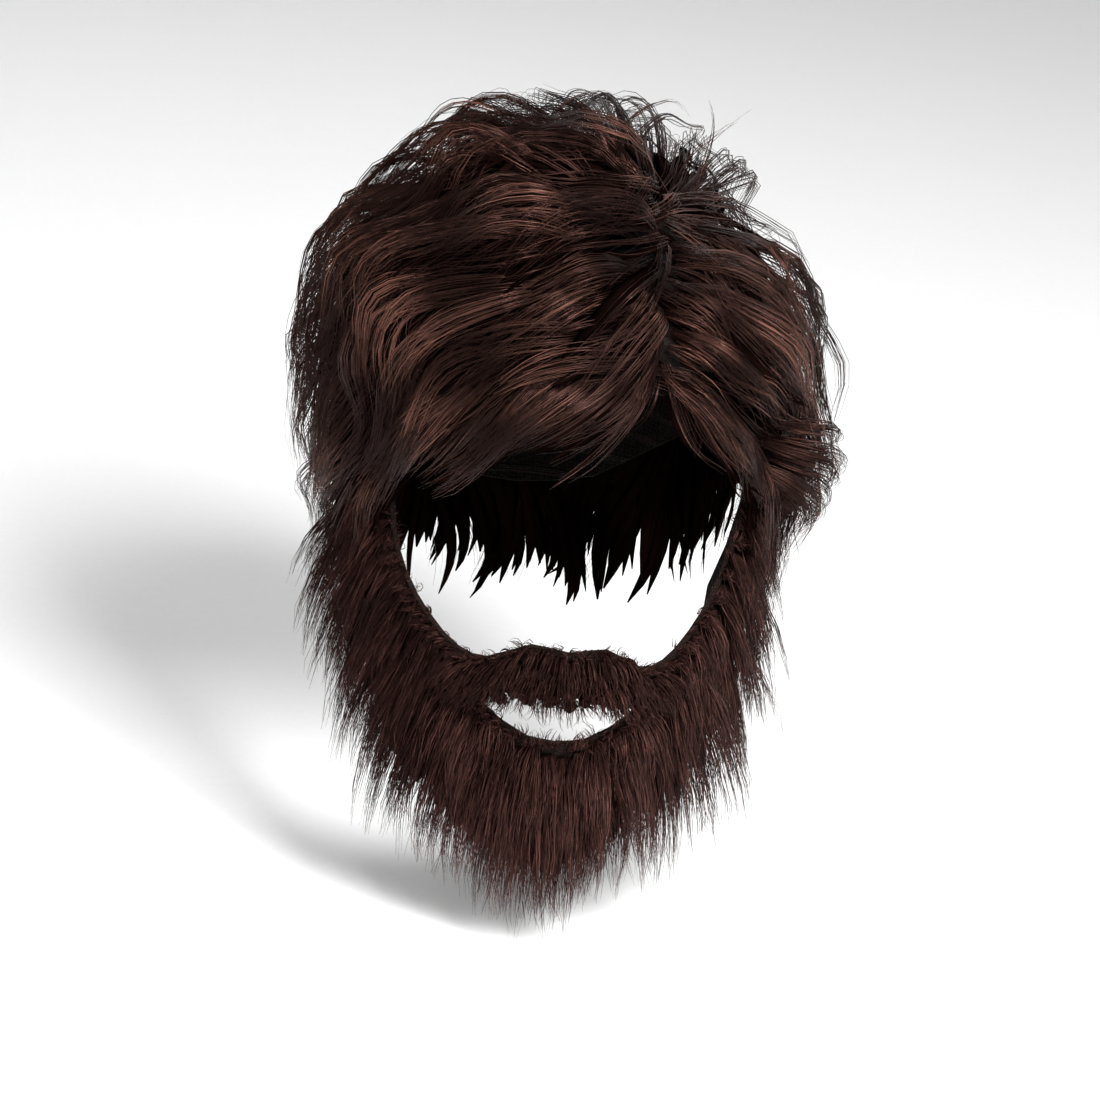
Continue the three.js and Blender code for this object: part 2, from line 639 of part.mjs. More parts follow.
const LOOKS = {
  cap: { color: "#1d1512", roughness: 0.9 },
  hair: { color: "#33201a", roughness: 0.45 },
  cloth: { color: "#221815", roughness: 0.95 },
  fur: { color: "#2a1b16", roughness: 0.6 },
};
const wig = new THREE.Group();
const beard = new THREE.Group();
function addPiece(group, name, solid, look) {
  const mesh = new THREE.Mesh(geometryOf(solid), new THREE.MeshStandardMaterial(look));
  mesh.name = name;
  group.add(mesh);
}
addPiece(wig, "wig_cap", cap, LOOKS.cap);
addPiece(wig, "crown_hair", crownHair, LOOKS.hair);
addPiece(wig, "fringe", fringe, LOOKS.hair);
addPiece(wig, "side_hair_left", sideHairLeft, LOOKS.hair);
addPiece(wig, "side_hair_right", sideHairRight, LOOKS.hair);
addPiece(wig, "nape_hair", napeHair, LOOKS.hair);
addPiece(beard, "beard_cloth", cloth, LOOKS.cloth);
addPiece(beard, "sideburn_left", sideburnLeft, LOOKS.fur);
addPiece(beard, "sideburn_right", sideburnRight, LOOKS.fur);
addPiece(beard, "chin_fur", chinFur, LOOKS.fur);
addPiece(beard, "moustache", moustache, LOOKS.fur);

export default new THREE.Group().add(wig, beard);
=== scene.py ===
"""Looks of a shaggy dark-brown wig and full beard, kept in the form that they have on a head.

Metres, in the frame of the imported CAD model: +Z is up, the face looks along -Y, the wearer's left is +X,
and the origin is the crown seat.
"""

import math
from collections import namedtuple

import bpy
import numpy as np
from mathutils import Matrix, Vector


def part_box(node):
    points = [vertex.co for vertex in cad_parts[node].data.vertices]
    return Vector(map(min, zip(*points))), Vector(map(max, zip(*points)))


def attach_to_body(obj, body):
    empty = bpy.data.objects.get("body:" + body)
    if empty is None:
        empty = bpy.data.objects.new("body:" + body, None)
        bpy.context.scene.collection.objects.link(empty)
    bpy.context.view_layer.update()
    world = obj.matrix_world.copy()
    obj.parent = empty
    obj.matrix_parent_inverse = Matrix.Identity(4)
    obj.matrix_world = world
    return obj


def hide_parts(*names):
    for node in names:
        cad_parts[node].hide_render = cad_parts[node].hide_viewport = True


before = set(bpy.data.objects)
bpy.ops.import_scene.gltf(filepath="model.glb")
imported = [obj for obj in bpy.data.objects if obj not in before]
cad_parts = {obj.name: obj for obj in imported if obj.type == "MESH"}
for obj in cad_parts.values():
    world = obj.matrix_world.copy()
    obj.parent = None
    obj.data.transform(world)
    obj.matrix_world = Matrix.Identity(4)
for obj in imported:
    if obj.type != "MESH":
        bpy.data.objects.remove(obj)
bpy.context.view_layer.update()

# The head form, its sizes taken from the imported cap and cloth: from the cloth's foremost point, and from the
# cap's lowest point at the nape.
CAP_WALL = 0.002
CLOTH_WALL = 0.002
FOREMOST_SHARE = 1.02
NAPE_LEVEL = 1.56
cap_low, cap_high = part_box("wig_cap")
cloth_low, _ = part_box("beard_cloth")
HALF_WIDTH = cap_high.x - CAP_WALL
BACK_REACH = cap_high.y - CAP_WALL
FRONT_REACH = (-cloth_low.y - CLOTH_WALL) / FOREMOST_SHARE
CROWN_HEIGHT = -cap_low.z / NAPE_LEVEL

# Sections of the head and of falling hair: level, half width, reach to the front, reach to the back.
# Levels 0 to 1 go from the crown to the head's widest line, and from there one level is one crown height.
HEAD = np.array([
    (1.0, 1.0, 1.0, 1.0), (1.35, 0.97, 1.0, 0.95), (1.65, 0.87, FOREMOST_SHARE, 0.8),
    (1.9, 0.8, 0.99, 0.68), (2.15, 0.69, 0.93, 0.62), (2.35, 0.58, 0.84, 0.6), (2.6, 0.5, 0.7, 0.58),
])
FALL = np.array([
    (1.0, 1.0, 1.0, 1.0), (1.4, 0.98, 1.0, 0.97), (1.8, 0.93, 1.0, 0.9), (2.3, 0.88, 1.0, 0.84),
])

# Edges by azimuth from the face: the cap's rim, then the beard cloth's top and bottom.
CAP_RIM = np.array([
    (0, 0.72), (35, 0.78), (56, 0.96), (70, 1.1), (84, 1.08), (104, 1.0), (130, 1.25), (155, 1.5),
    (180, NAPE_LEVEL),
])
BEARD_EDGES = np.array([
    (0, 1.585, 2.33), (12, 1.57, 2.32), (26, 1.66, 2.27), (36, 1.66, 2.2), (47, 1.58, 2.1), (55, 1.46, 2.02),
    (59, 1.3, 1.96), (62, 1.06, 1.92), (74, 1.0, 1.76), (86, 1.0, 1.62),
])
RIM_TO_CLOTH = 0.005

# The mouth hole's upper and lower edges, by the share of its half width from the middle.
MOUTH_EDGES = np.array([(0, 1.77, 1.965), (0.35, 1.768, 1.955), (0.7, 1.785, 1.905), (1, 1.83, 1.84)])
MOUTH_LEVEL = 1.83
MOUTH_HALF_WIDTH = 0.031

# How hair is combed: away from the whorl, down with distance, aside from the part in front.
# The whorl has an azimuth and a level, and the combing is softened round it.
WHORL = (62, 0.22)
WHORL_SOFTNESS = 0.02
WHORL_MESS = 0.3

# Hair hangs less in front, and less again on the wearer's left.
HAIR_DROOP = 0.95
FRONT_EASE = 0.5
LEFT_EASE = 0.3
LEFT_EASE_START = -0.3
LEFT_EASE_RISE = 1.6

# The part: how far across it lies at the crown and at the forehead, the depth and pitch of its weave, and how
# strongly it pulls hair aside.
PART_LINE = (0.022, 0.019)
PART_WEAVE = (0.0025, 0.026)
PART_SOFTNESS = 0.003
PART_MESS = 0.0015
PART_PULL = 2.6
PART_START = 0.2
PART_END = 0.9
CALM_REACH = 0.02

# The waves: how far they turn the hair and how high they raise it.
SWAY = 0.4
HEAVE = 0.2
WANDER = 4

# The fringe starts at a share of the front reach. Near the part it is shorter and falls less.
FRINGE_START = 0.6
FRINGE_DROP = 1.1
PEAK_REACH = 0.035
PEAK_DROP = 0.6
PEAK_LENGTH = 0.8

# A hair's length, how high it arches, where along it the arch tops out, and how far its tip sinks back.
HAIR_LENGTH = 0.08
HAIR_DEPTH = 0.027
CREST_SHARE = 0.5
TIP_SINK = 0.25
ROOT_HEIGHT = 0.004
RIM_MARGIN = 0.02

# The beard's fur: its length, its drift to the wearer's left, and the crest that sets its painted highlights
# and shade.
FUR_LENGTH = 0.05
BEARD_DRIFT = 0.12
FUR_HIGHLIGHT_CREST = 0.7

# Length and lift of hair by level, in front, at the sides and at the back, and the azimuths where they blend.
FRONT_END = 48
BACK_START = 116
BLEND_SPAN = 18
COMB = {
    "front": np.array([
        (0.0, 0.8, 0.95), (0.4, 0.78, 1.0), (0.52, 0.85, 0.84), (0.6, 0.8, 0.68), (0.72, 0.62, 0.45),
    ]),
    "side": np.array([
        (0.0, 0.95, 1.05), (0.36, 0.95, 1.2), (0.6, 0.95, 1.06), (0.86, 0.9, 0.7), (1.1, 0.8, 0.4),
    ]),
    "back": np.array([
        (0.0, 0.95, 1.05), (0.36, 0.95, 1.1), (0.62, 1.0, 1.02), (0.92, 0.98, 0.88), (1.2, 0.92, 0.62),
        (1.5, 0.7, 0.4),
    ]),
}


# Forms.
def value_at(table, column, place):
    """A table's column at places between its rows, on a smooth curve that starts level."""
    at, values = table[:, 0], table[:, column]
    slopes = np.empty(len(at))
    slopes[0] = 0
    slopes[1:-1] = (values[2:] - values[:-2]) / (at[2:] - at[:-2])
    slopes[-1] = (values[-1] - values[-2]) / (at[-1] - at[-2])
    place = np.clip(place, at[0], at[-1])
    row = np.clip(np.searchsorted(at, place, side="right") - 1, 0, len(at) - 2)
    span = at[row + 1] - at[row]
    share = (place - at[row]) / span
    square, cube = share**2, share**3
    return (
        (2 * cube - 3 * square + 1) * values[row]
        + (cube - 2 * square + share) * span * slopes[row]
        + (3 * square - 2 * cube) * values[row + 1]
        + (cube - square) * span * slopes[row + 1]
    )


def section_at(form, level, is_front):
    """Half widths and reaches of a form at levels."""
    width = HALF_WIDTH * value_at(form, 1, level)
    front = FRONT_REACH * value_at(form, 2, level)
    back = BACK_REACH * value_at(form, 3, level)
    return width, np.where(is_front, front, back)


def form_point(form, azimuth, level):
    """Points of a form at azimuths and levels."""
    angle = np.radians(azimuth)
    level = np.broadcast_to(level, angle.shape).astype(float)
    width, reach = section_at(form, level, np.cos(angle) > 0)
    polar = np.minimum(level, 1) * math.pi / 2
    rise = np.where(level < 1, CROWN_HEIGHT * (np.cos(polar) - 1), -CROWN_HEIGHT * level)
    ring = np.sin(polar)
    return np.stack([width * np.sin(angle) * ring, -reach * np.cos(angle) * ring, rise], -1)


def gauge(form, point):
    """How far points lie out from a form's middle: 1 is on the form."""
    level = np.maximum(1, -point[..., 2] / CROWN_HEIGHT)
    width, reach = section_at(form, level, point[..., 1] < 0)
    above = np.maximum(0, point[..., 2] + CROWN_HEIGHT) / CROWN_HEIGHT
    return np.sqrt((point[..., 0] / width) ** 2 + (point[..., 1] / reach) ** 2 + above**2)


def onto_form(form, point):
    """Points moved straight out from a form's middle onto the form."""
    share = 1 / gauge(form, point)
    above = np.maximum(0, point[..., 2] + CROWN_HEIGHT)
    height = point[..., 2] + above * (share - 1)
    return np.stack([point[..., 0] * share, point[..., 1] * share, height], -1)


def unit(vector):
    return vector / np.linalg.norm(vector, axis=-1, keepdims=True)


def outward_at(form, point):
    """Directions straight off a form at points on it."""
    step = 0.00015
    slopes = []
    for axis in range(3):
        shift = np.zeros(3)
        shift[axis] = step
        slopes.append(gauge(form, point + shift) - gauge(form, point - shift))
    return unit(np.stack(slopes, -1))


def away_from_face(azimuth):
    """Azimuths as degrees from the face, to either side."""
    return np.abs((np.asarray(azimuth, float) + 180) % 360 - 180)


def rim_level(azimuth):
    return value_at(CAP_RIM, 1, away_from_face(azimuth))


def beard_top(azimuth):
    return np.maximum(value_at(BEARD_EDGES, 1, away_from_face(azimuth)), rim_level(azimuth) + RIM_TO_CLOTH)


def beard_bottom(azimuth):
    return value_at(BEARD_EDGES, 2, away_from_face(azimuth))


def mouth_level(edge, azimuth):
    """Level of the mouth hole's upper edge (1) or lower edge (2)."""
    width, _ = section_at(HEAD, np.full(np.shape(azimuth), MOUTH_LEVEL), True)
    across = width * np.sin(np.radians(away_from_face(azimuth)))
    return value_at(MOUTH_EDGES, edge, across / MOUTH_HALF_WIDTH)


# Guides: lines that a lock or a bundle of fibres follows.
def turned(vector, axis, angle):
    """Unit vectors turned about axes that they are square to."""
    angle = np.asarray(angle)[..., None]
    return np.cos(angle) * vector + np.sin(angle) * np.cross(axis, vector)


whorl_point = form_point(HEAD, *(np.array([place]) for place in WHORL))[0]


def part_at(y):
    """How far across the part lies, from the crown to the hairline."""
    back, front = PART_LINE
    aside, pitch = PART_WEAVE
    return back + (front - back) * np.clip(-y / FRONT_REACH, 0, 1) + aside * np.sin(2 * math.pi * y / pitch)


def part_side(rng, point):
    """To which side of the part hair rooted at points is combed, from -1 to 1."""
    aside = point[:, 0] - part_at(point[:, 1]) + rng.normal(0, PART_MESS, len(point))
    return np.tanh(aside / PART_SOFTNESS)


def hair_heading(point, out, side):
    """Where hair that is rooted on a side of the part heads at points on the head."""
    away = point - whorl_point
    distance = np.linalg.norm(away, axis=-1)
    forward = PART_START + (whorl_point[1] - point[..., 1]) / (FRONT_REACH + whorl_point[1])
    forward = np.clip(forward, 0, 1)
    front = -point[..., 1] / FRONT_REACH
    leftward = np.clip((front - LEFT_EASE_START) * LEFT_EASE_RISE, 0, 1) * (side > 0)
    ease = 1 - FRONT_EASE * np.clip(front, 0, 1) - LEFT_EASE * leftward
    heading = away / (distance + WHORL_SOFTNESS)[..., None]
    heading[..., 2] -= HAIR_DROOP * np.minimum(1, distance / CROWN_HEIGHT) * ease
    heading[..., 0] += PART_PULL * side * forward
    return unit(heading - out * np.sum(heading * out, -1, keepdims=True))


class Ripple:
    """Soft hills and hollows in space, from about -1 to 1: plane waves added up."""

    TALLEST = 1.6

    def __init__(self, seed, shortest, longest, count=6):
        rng = np.random.default_rng(seed)
        ways = unit(rng.normal(size=(count, 3)))
        self.ways = ways * (2 * math.pi / rng.uniform(shortest, longest, (count, 1)))
        self.starts = rng.uniform(0, 2 * math.pi, count)

    def at(self, point):
        waves = np.sin(point @ self.ways.T + self.starts)
        return np.sum(waves, -1) / math.sqrt(len(self.starts) / 2) / self.TALLEST


sway_field = Ripple(seed=11, shortest=0.042, longest=0.085)
heave_field = Ripple(seed=12, shortest=0.022, longest=0.045)


class Guides:
    """Lines of points with the way out and the crest at each, for painted light, and each line's half width
    and shade.
    """

    def __init__(self, lines, outs, crest, half, shade):
        self.lines, self.outs, self.crest, self.half, self.shade = lines, outs, crest, half, shade

    def mesh(self, name):
        count, size, _ = self.lines.shape
        mesh = bpy.data.meshes.new(name)
        first = (np.arange(count) * size)[:, None] + np.arange(size - 1)
        edges = np.stack([first, first + 1], -1).reshape(-1, 2)
        mesh.from_pydata(self.lines.reshape(-1, 3), edges, [])
        columns = [
            ("out", "FLOAT_VECTOR", "vector", self.outs),
            ("crest", "FLOAT", "value", self.crest),
            ("half", "FLOAT", "value", np.repeat(self.half, size)),
            ("shade", "FLOAT", "value", np.repeat(self.shade, size)),
        ]
        for title, kind, key, values in columns:
            attribute = mesh.attributes.new(title, kind, "POINT")
            attribute.data.foreach_set(key, np.ascontiguousarray(values, dtype=np.float32).ravel())
        return mesh


def joined(*guides):
    """All the lines of some guides as one."""
    keys = ("lines", "outs", "crest", "half", "shade")
    return Guides(*(np.concatenate([getattr(guide, key) for guide in guides]) for key in keys))


def hair_guides(rng, azimuth, level, length, lift, half, depth, flick, turn=0.24, sway=1.0, drop=0.0,
                shade=(0.0, 1.0), stations=10):
    """Guides of hair rooted at azimuths and levels: out of the cap, over, and along the head."""
    point = form_point(FALL, azimuth, level)
    count = len(point)
    start = rng.uniform(0, 2 * math.pi, count)
    side = part_side(rng, point)
    from_part = np.abs(point[:, 0] - part_at(point[:, 1]))
    calm = np.where(point[:, 1] < whorl_point[1], 1 - np.exp(-((from_part / CALM_REACH) ** 2)), 1.0)
    off_peak = np.minimum(1, from_part / PEAK_REACH)
    drop = drop * (PEAK_DROP + (1 - PEAK_DROP) * off_peak)[:, None]
    is_fringe = point[:, 1] < -FRINGE_START * FRONT_REACH
    length = length * np.where(is_fringe, PEAK_LENGTH + (1 - PEAK_LENGTH) * off_peak, 1)
    near_whorl = np.exp(-(np.linalg.norm(point - whorl_point, axis=-1) / WHORL_SOFTNESS) ** 2)
    aside = rng.normal(0, 1, count) * (turn + WHORL_MESS * near_whorl)
    lines, outs, crests = [], [], []
    for station in range(stations + 1):
        share = station / stations
        out = outward_at(FALL, point)
        rise = math.sin(min(1, share / CREST_SHARE) * math.pi / 2)
        hill = heave_field.at(point)
        arch = lift * (1 - TIP_SINK * share**2) + flick * share**4
        crest = HAIR_DEPTH * arch * depth * (1 + HEAVE * hill)
        lines.append(point + out * (ROOT_HEIGHT + (crest - ROOT_HEIGHT) * rise)[:, None])
        outs.append(out)
        # The hill's crest, 0 to 1, sets painted highlights on hill tops and painted shade in hollows.
        crests.append(np.clip(0.5 + 0.5 * hill, 0, 1))
        angle = sway * SWAY * calm * sway_field.at(point) + aside * np.cos(start + WANDER * share)
        heading = turned(hair_heading(point, out, side), out, angle)
        heading = unit(heading - drop * np.array([0, 0, 1]) * (1 - share))
        point = onto_form(FALL, point + heading * (length * HAIR_LENGTH / stations)[:, None])
    shade = rng.uniform(*shade, count)
    return Guides(np.stack(lines, 1), np.stack(outs, 1), np.stack(crests, 1), half, shade)


def combed(azimuth, level):
    """Length and lift of the hair at azimuths and levels."""
    turn = away_from_face(azimuth)
    front = 1 - np.clip((turn - FRONT_END) / BLEND_SPAN, 0, 1)
    back = np.clip((turn - BACK_START) / BLEND_SPAN, 0, 1)
    shares = {"front": front, "side": 1 - front - back, "back": back}
    return [
        sum(share * value_at(COMB[name], column, level) for name, share in shares.items())
        for column in (1, 2)
    ]


def places_of(x, y):
    """Azimuths and levels of points on the dome of the head, from their places across and forward."""
    across, forward = x / HALF_WIDTH, -y / FRONT_REACH
    azimuth = np.degrees(np.arctan2(across, forward))
    level = np.arcsin(np.hypot(across, forward)) / (math.pi / 2)
    return np.stack([azimuth, level], -1)


def part_roots(rng, pitch, offset):
    """Roots close along both sides of the part, from the whorl to the hairline."""
    y = np.arange(whorl_point[1], -PART_END * FRONT_REACH, -pitch)
    y = y + rng.uniform(-0.5, 0.5, len(y)) * pitch
    x = part_at(y)
    return np.concatenate([
        places_of(x + side * offset * rng.uniform(0.4, 1.4, len(y)), y) for side in (-1, 1)
    ])


def hairline_roots(rng, start, end, pitch, inset=0.03):
    """Roots along the cap's rim between two azimuths."""
    count = round(math.radians(end - start) * FRONT_REACH / pitch)
    place = np.arange(count) + rng.uniform(0, 1, count)
    azimuth = start + (end - start) * place / count
    return np.stack([azimuth, rim_level(azimuth) - inset * rng.uniform(0.5, 1.5, count)], -1)


def hair_roots(rng, start, end, level_from, level_to, pitch):
    """Roots in weft rows over a window of the cap, evenly spaced and jittered."""
    rows = []
    row_step = pitch / (CROWN_HEIGHT * math.pi / 2)
    for level in np.arange(level_from + row_step / 2, level_to, row_step):
        ring = math.sin(min(level, 1) * math.pi / 2) * (HALF_WIDTH + FRONT_REACH) / 2
        span = math.radians(end - start) * ring
        count = max(3, round(span / pitch))
        place = np.arange(count) + rng.uniform(0.1, 0.9, count)
        azimuth = start + (end - start) * place / count
        rows.append(np.stack([azimuth, level + rng.uniform(-0.5, 0.5, count) * row_step], -1))
    roots = np.concatenate(rows)
    return roots[roots[:, 1] < rim_level(roots[:, 0]) - RIM_MARGIN]


def fur_guides(rng, azimuth, level, length, lean, splay, half, root=CLOTH_WALL, wave=0.1, fall=1.0,
               shade=(0.0, 1.0), stations=4):
    """Guides of beard fur: off the cloth, combed aside, then hanging. A fall below 0 starts it upwards."""
    form = form_point(HEAD, azimuth, level)
    count = len(form)
    out = outward_at(HEAD, form)
    length, lean, splay = (np.broadcast_to(value, count) for value in (length, lean, splay))
    aside = splay * np.sin(np.radians(azimuth))
    heading = np.stack([aside, np.zeros(count), -fall * np.ones(count)], -1) + lean[:, None] * out
    heading = unit(unit(heading) + rng.normal(0, wave, (count, 3)))
    point = form + out * np.broadcast_to(root, count)[:, None]
    pull = np.array([BEARD_DRIFT, 0, -1]) / stations
    lines, outs = [], []
    for _ in range(stations + 1):
        lines.append(point)
        outs.append(out)
        point = point + heading * (length * FUR_LENGTH / stations)[:, None]
        heading = unit(heading + pull)
    crest = np.full((count, stations + 1), FUR_HIGHLIGHT_CREST)
    return Guides(np.stack(lines, 1), np.stack(outs, 1), crest, half, rng.uniform(*shade, count))


# Node trees.
class Wire:
    """An output socket that takes part in Python expressions on numbers."""

    def __init__(self, nodes, socket):
        self.nodes, self.socket = nodes, socket

    def math(self, operation, *others):
        links = dict(enumerate((self, *others)))
        return self.nodes.add("ShaderNodeMath", links, operation=operation)["Value"]

    def __add__(self, other):
        return self.math("ADD", other)

    def __sub__(self, other):
        return self.math("SUBTRACT", other)

    def __rsub__(self, other):
        return self.nodes.add("ShaderNodeMath", {0: other, 1: self}, operation="SUBTRACT")["Value"]

    def __mul__(self, other):
        return self.math("MULTIPLY", other)

    def __pow__(self, other):
        return self.math("POWER", other)

    __radd__ = __add__
    __rmul__ = __mul__

    def sin(self):
        return self.math("SINE")

    def clamped(self):
        return self.math("MAXIMUM", 0.0).math("MINIMUM", 1.0)


class Node:
    """A node's outputs, by name or identifier, as wires."""

    def __init__(self, nodes, node):
        self.nodes, self.node = nodes, node

    def __getitem__(self, key):
        return Wire(self.nodes, pick(self.node.outputs, key))


def pick(sockets, key):
    """A node's socket by place, identifier or name."""
    if isinstance(key, int):
        return sockets[key]
    found = [socket for socket in sockets if socket.identifier == key]
    found = found or [socket for socket in sockets if socket.name == key and socket.enabled]
    return found[0]


class Nodes:
    """A node tree that is written as expressions on wires."""

    def __init__(self, tree):
        self.tree = tree

    def add(self, kind, inputs=None, **settings):
        """A node with the values or wires of its sockets, and its settings."""
        node = self.tree.nodes.new(kind)
        for name, value in settings.items():
            setattr(node, name, value)
        for key, value in (inputs or {}).items():
            socket = pick(node.inputs, key)
            if isinstance(value, Wire):
                self.tree.links.new(value.socket, socket)
            else:
                socket.default_value = value
        return Node(self, node)

    def vector(self, operation, *values, **named):
        inputs = {**dict(enumerate(values)), **named}
        return self.add("ShaderNodeVectorMath", inputs, operation=operation)["Vector"]

    def mix(self, share, first, second):
        """A blend of two colours."""
        inputs = {"Factor_Float": share, "A_Color": first, "B_Color": second}
        return self.add("ShaderNodeMix", inputs, data_type="RGBA")["Result_Color"]


def new_tree(name, sockets):
    """A geometry tree with a geometry in and out and named inputs."""
    tree = bpy.data.node_groups.new(name, "GeometryNodeTree")
    for way in ("OUTPUT", "INPUT"):
        tree.interface.new_socket("Geometry", in_out=way, socket_type="NodeSocketGeometry")
    for title, kind in sockets.items():
        tree.interface.new_socket(title, in_out="INPUT", socket_type="NodeSocket" + kind)
    nodes = Nodes(tree)
    return tree, nodes, nodes.add("NodeGroupInput")


def attribute(nodes, name, kind="FLOAT"):
    """A guide's own value at each point."""
    return nodes.add("GeometryNodeInputNamedAttribute", {"Name": name}, data_type=kind)["Attribute"]


FULLNESS_POWER = 0.7


def fullness(along, start=0.12, span=0.84):
    """A lock's width along its length, as a share of its fullest: a stretch of a sine's arch."""
    return ((start + span * along) * math.pi).sin() ** FULLNESS_POWER


def stored(nodes, geometry, name, value):
    """A geometry whose points keep a number under a name, for its material."""
    inputs = {"Geometry": geometry, "Name": name, "Value": value}
    kept = nodes.add("GeometryNodeStoreNamedAttribute", inputs, data_type="FLOAT", domain="POINT")
    return kept["Geometry"]


def ring(nodes, sides):
    """A profile of radius 1."""
    inputs = {"Resolution": sides, "Radius": 1.0}
    return nodes.add("GeometryNodeCurvePrimitiveCircle", inputs, mode="RADIUS")["Curve"]


def swept(nodes, curve, radius, profile, material):
    """Closed, smooth, painted meshes of a profile along curves."""
    curve = nodes.add("GeometryNodeSetCurveRadius", {"Curve": curve, "Radius": radius})["Curve"]
    thick = nodes.add("GeometryNodeInputRadius")["Radius"]
    inputs = {"Curve": curve, "Profile Curve": profile, "Scale": thick, "Fill Caps": True}
    mesh = nodes.add("GeometryNodeCurveToMesh", inputs)["Mesh"]
    mesh = nodes.add("GeometryNodeSetShadeSmooth", {"Geometry": mesh})["Geometry"]
    mesh = nodes.add("GeometryNodeRealizeInstances", {"Geometry": mesh})["Geometry"]
    mesh = nodes.add("GeometryNodeSetMaterial", {"Geometry": mesh, "Material": material})["Geometry"]
    nodes.add("NodeGroupOutput", {"Geometry": mesh})


def lock_tree():
    """Flat tapered locks along guides, thin across the way out, and sunk below the guides halfway along."""
    sockets = {"Width": "Float", "Flatness": "Float", "Sides": "Int", "Sink": "Float", "Material": "Material"}
    tree, nodes, given = new_tree("locks along guides", sockets)
    curve = nodes.add("GeometryNodeMeshToCurve", {"Mesh": given["Geometry"]})["Curve"]
    along = nodes.add("GeometryNodeSplineParameter")["Factor"]
    curve = stored(nodes, curve, "along", along)
    out = attribute(nodes, "out", "FLOAT_VECTOR")
    inward = nodes.vector("SCALE", out, Scale=given["Sink"] * -1.0 * fullness(along))
    curve = nodes.add("GeometryNodeSetPosition", {"Geometry": curve, "Offset": inward})["Geometry"]
    inputs = {"Curve": curve, "Normal": out}
    curve = nodes.add("GeometryNodeSetCurveNormal", inputs, mode="FREE")["Curve"]
    profile = ring(nodes, given["Sides"])
    place = nodes.add("ShaderNodeSeparateXYZ", {0: nodes.add("GeometryNodeInputPosition")["Position"]})
    profile = stored(nodes, profile, "across", place["Y"])
    scale = nodes.add("ShaderNodeCombineXYZ", {"X": given["Flatness"], "Y": 1.0, "Z": 1.0})["Vector"]
    profile = nodes.add("GeometryNodeTransform", {"Geometry": profile, "Scale": scale})["Geometry"]
    radius = attribute(nodes, "half") * given["Width"] * fullness(along, start=0.15)
    swept(nodes, curve, radius, profile, given["Material"])
    return tree


# How a bundle's fibres differ in thickness, shade and wave, and how each thins to its tip.
FIBRE_THICKNESS = (0.65, 1.3)
LOCK_SHADE = 0.6
OWN_SHADE = 0.4
WAVE_DRIFT = (3.0, 9.0, 5.0)
ROOT_WAVE = 0.15
TIP_THINNING = 0.8
TIP_POWER = 1.6


def fibre_tree():
    """Bundles of fine fibres along guides, spread over a lock's domed width and gathered to its tip."""
    sockets = {
        "Fibres": "Int", "Spread": "Float", "Depth": "Float", "Radius": "Float", "Wave": "Float",
        "Wave Scale": "Float", "Shortest": "Float", "Sides": "Int", "Seed": "Int", "Material": "Material",
    }
    tree, nodes, given = new_tree("fibres along guides", sockets)
    curve = nodes.add("GeometryNodeMeshToCurve", {"Mesh": given["Geometry"]})["Curve"]
    inputs = {"Geometry": curve, "Amount": given["Fibres"]}
    curve = nodes.add("GeometryNodeDuplicateElements", inputs, domain="SPLINE")["Geometry"]
    along = nodes.add("GeometryNodeSplineParameter")["Factor"]

    def draw(low, high, offset):
        """A random number for each fibre."""
        inputs = {"Min_001": low, "Max_001": high, "Seed": given["Seed"] + offset}
        number = nodes.add("FunctionNodeRandomValue", inputs, data_type="FLOAT")["Value_001"]
        return nodes.add("GeometryNodeFieldOnDomain", {0: number}, domain="CURVE", data_type="FLOAT")[0]

    aside, height = draw(-1.0, 1.0, 0), draw(-0.5, 0.5, 1)
    arch = fullness(along)
    out = attribute(nodes, "out", "FLOAT_VECTOR")
    tangent = nodes.add("GeometryNodeInputTangent")["Tangent"]
    side = nodes.vector("NORMALIZE", nodes.vector("CROSS_PRODUCT", tangent, out))
    across = aside * attribute(nodes, "half") * given["Spread"] * arch
    dome = (1.0 - aside * aside) + height
    offset = nodes.vector("ADD", nodes.vector("SCALE", side, Scale=across),
                          nodes.vector("SCALE", out, Scale=dome * given["Depth"] * arch))
    place = nodes.add("GeometryNodeInputPosition")["Position"]
    by_side, by_height, by_fibre = WAVE_DRIFT
    inputs = {"X": aside * by_side, "Y": height * by_height, "Z": draw(0.0, by_fibre, 2)}
    drift = nodes.add("ShaderNodeCombineXYZ", inputs)["Vector"]
    place = nodes.vector("ADD", nodes.vector("SCALE", place, Scale=given["Wave Scale"]), drift)
    inputs = {"Vector": place, "Scale": 1.0, "Detail": 1.0}
    wave = nodes.add("ShaderNodeTexNoise", inputs, noise_dimensions="3D")["Color"]
    wave = nodes.vector("SUBTRACT", wave, (0.5, 0.5, 0.5))
    wave = nodes.vector("SCALE", wave, Scale=given["Wave"] * (ROOT_WAVE + along))
    offset = nodes.vector("ADD", offset, wave)
    curve = nodes.add("GeometryNodeSetPosition", {"Geometry": curve, "Offset": offset})["Geometry"]
    curve = stored(nodes, curve, "across", aside)
    curve = stored(nodes, curve, "along", along)
    curve = stored(nodes, curve, "shade", attribute(nodes, "shade") * LOCK_SHADE + draw(0.0, OWN_SHADE, 3))
    inputs = {"Curve": curve, "End": draw(given["Shortest"], 1.0, 4)}
    curve = nodes.add("GeometryNodeTrimCurve", inputs, mode="FACTOR")["Curve"]
    taper = 1.0 - TIP_THINNING * nodes.add("GeometryNodeSplineParameter")["Factor"] ** TIP_POWER
    radius = given["Radius"] * draw(*FIBRE_THICKNESS, 5) * taper
    swept(nodes, curve, radius, ring(nodes, given["Sides"]), given["Material"])
    return tree


LOCK_TREE = lock_tree()
FIBRE_TREE = fibre_tree()


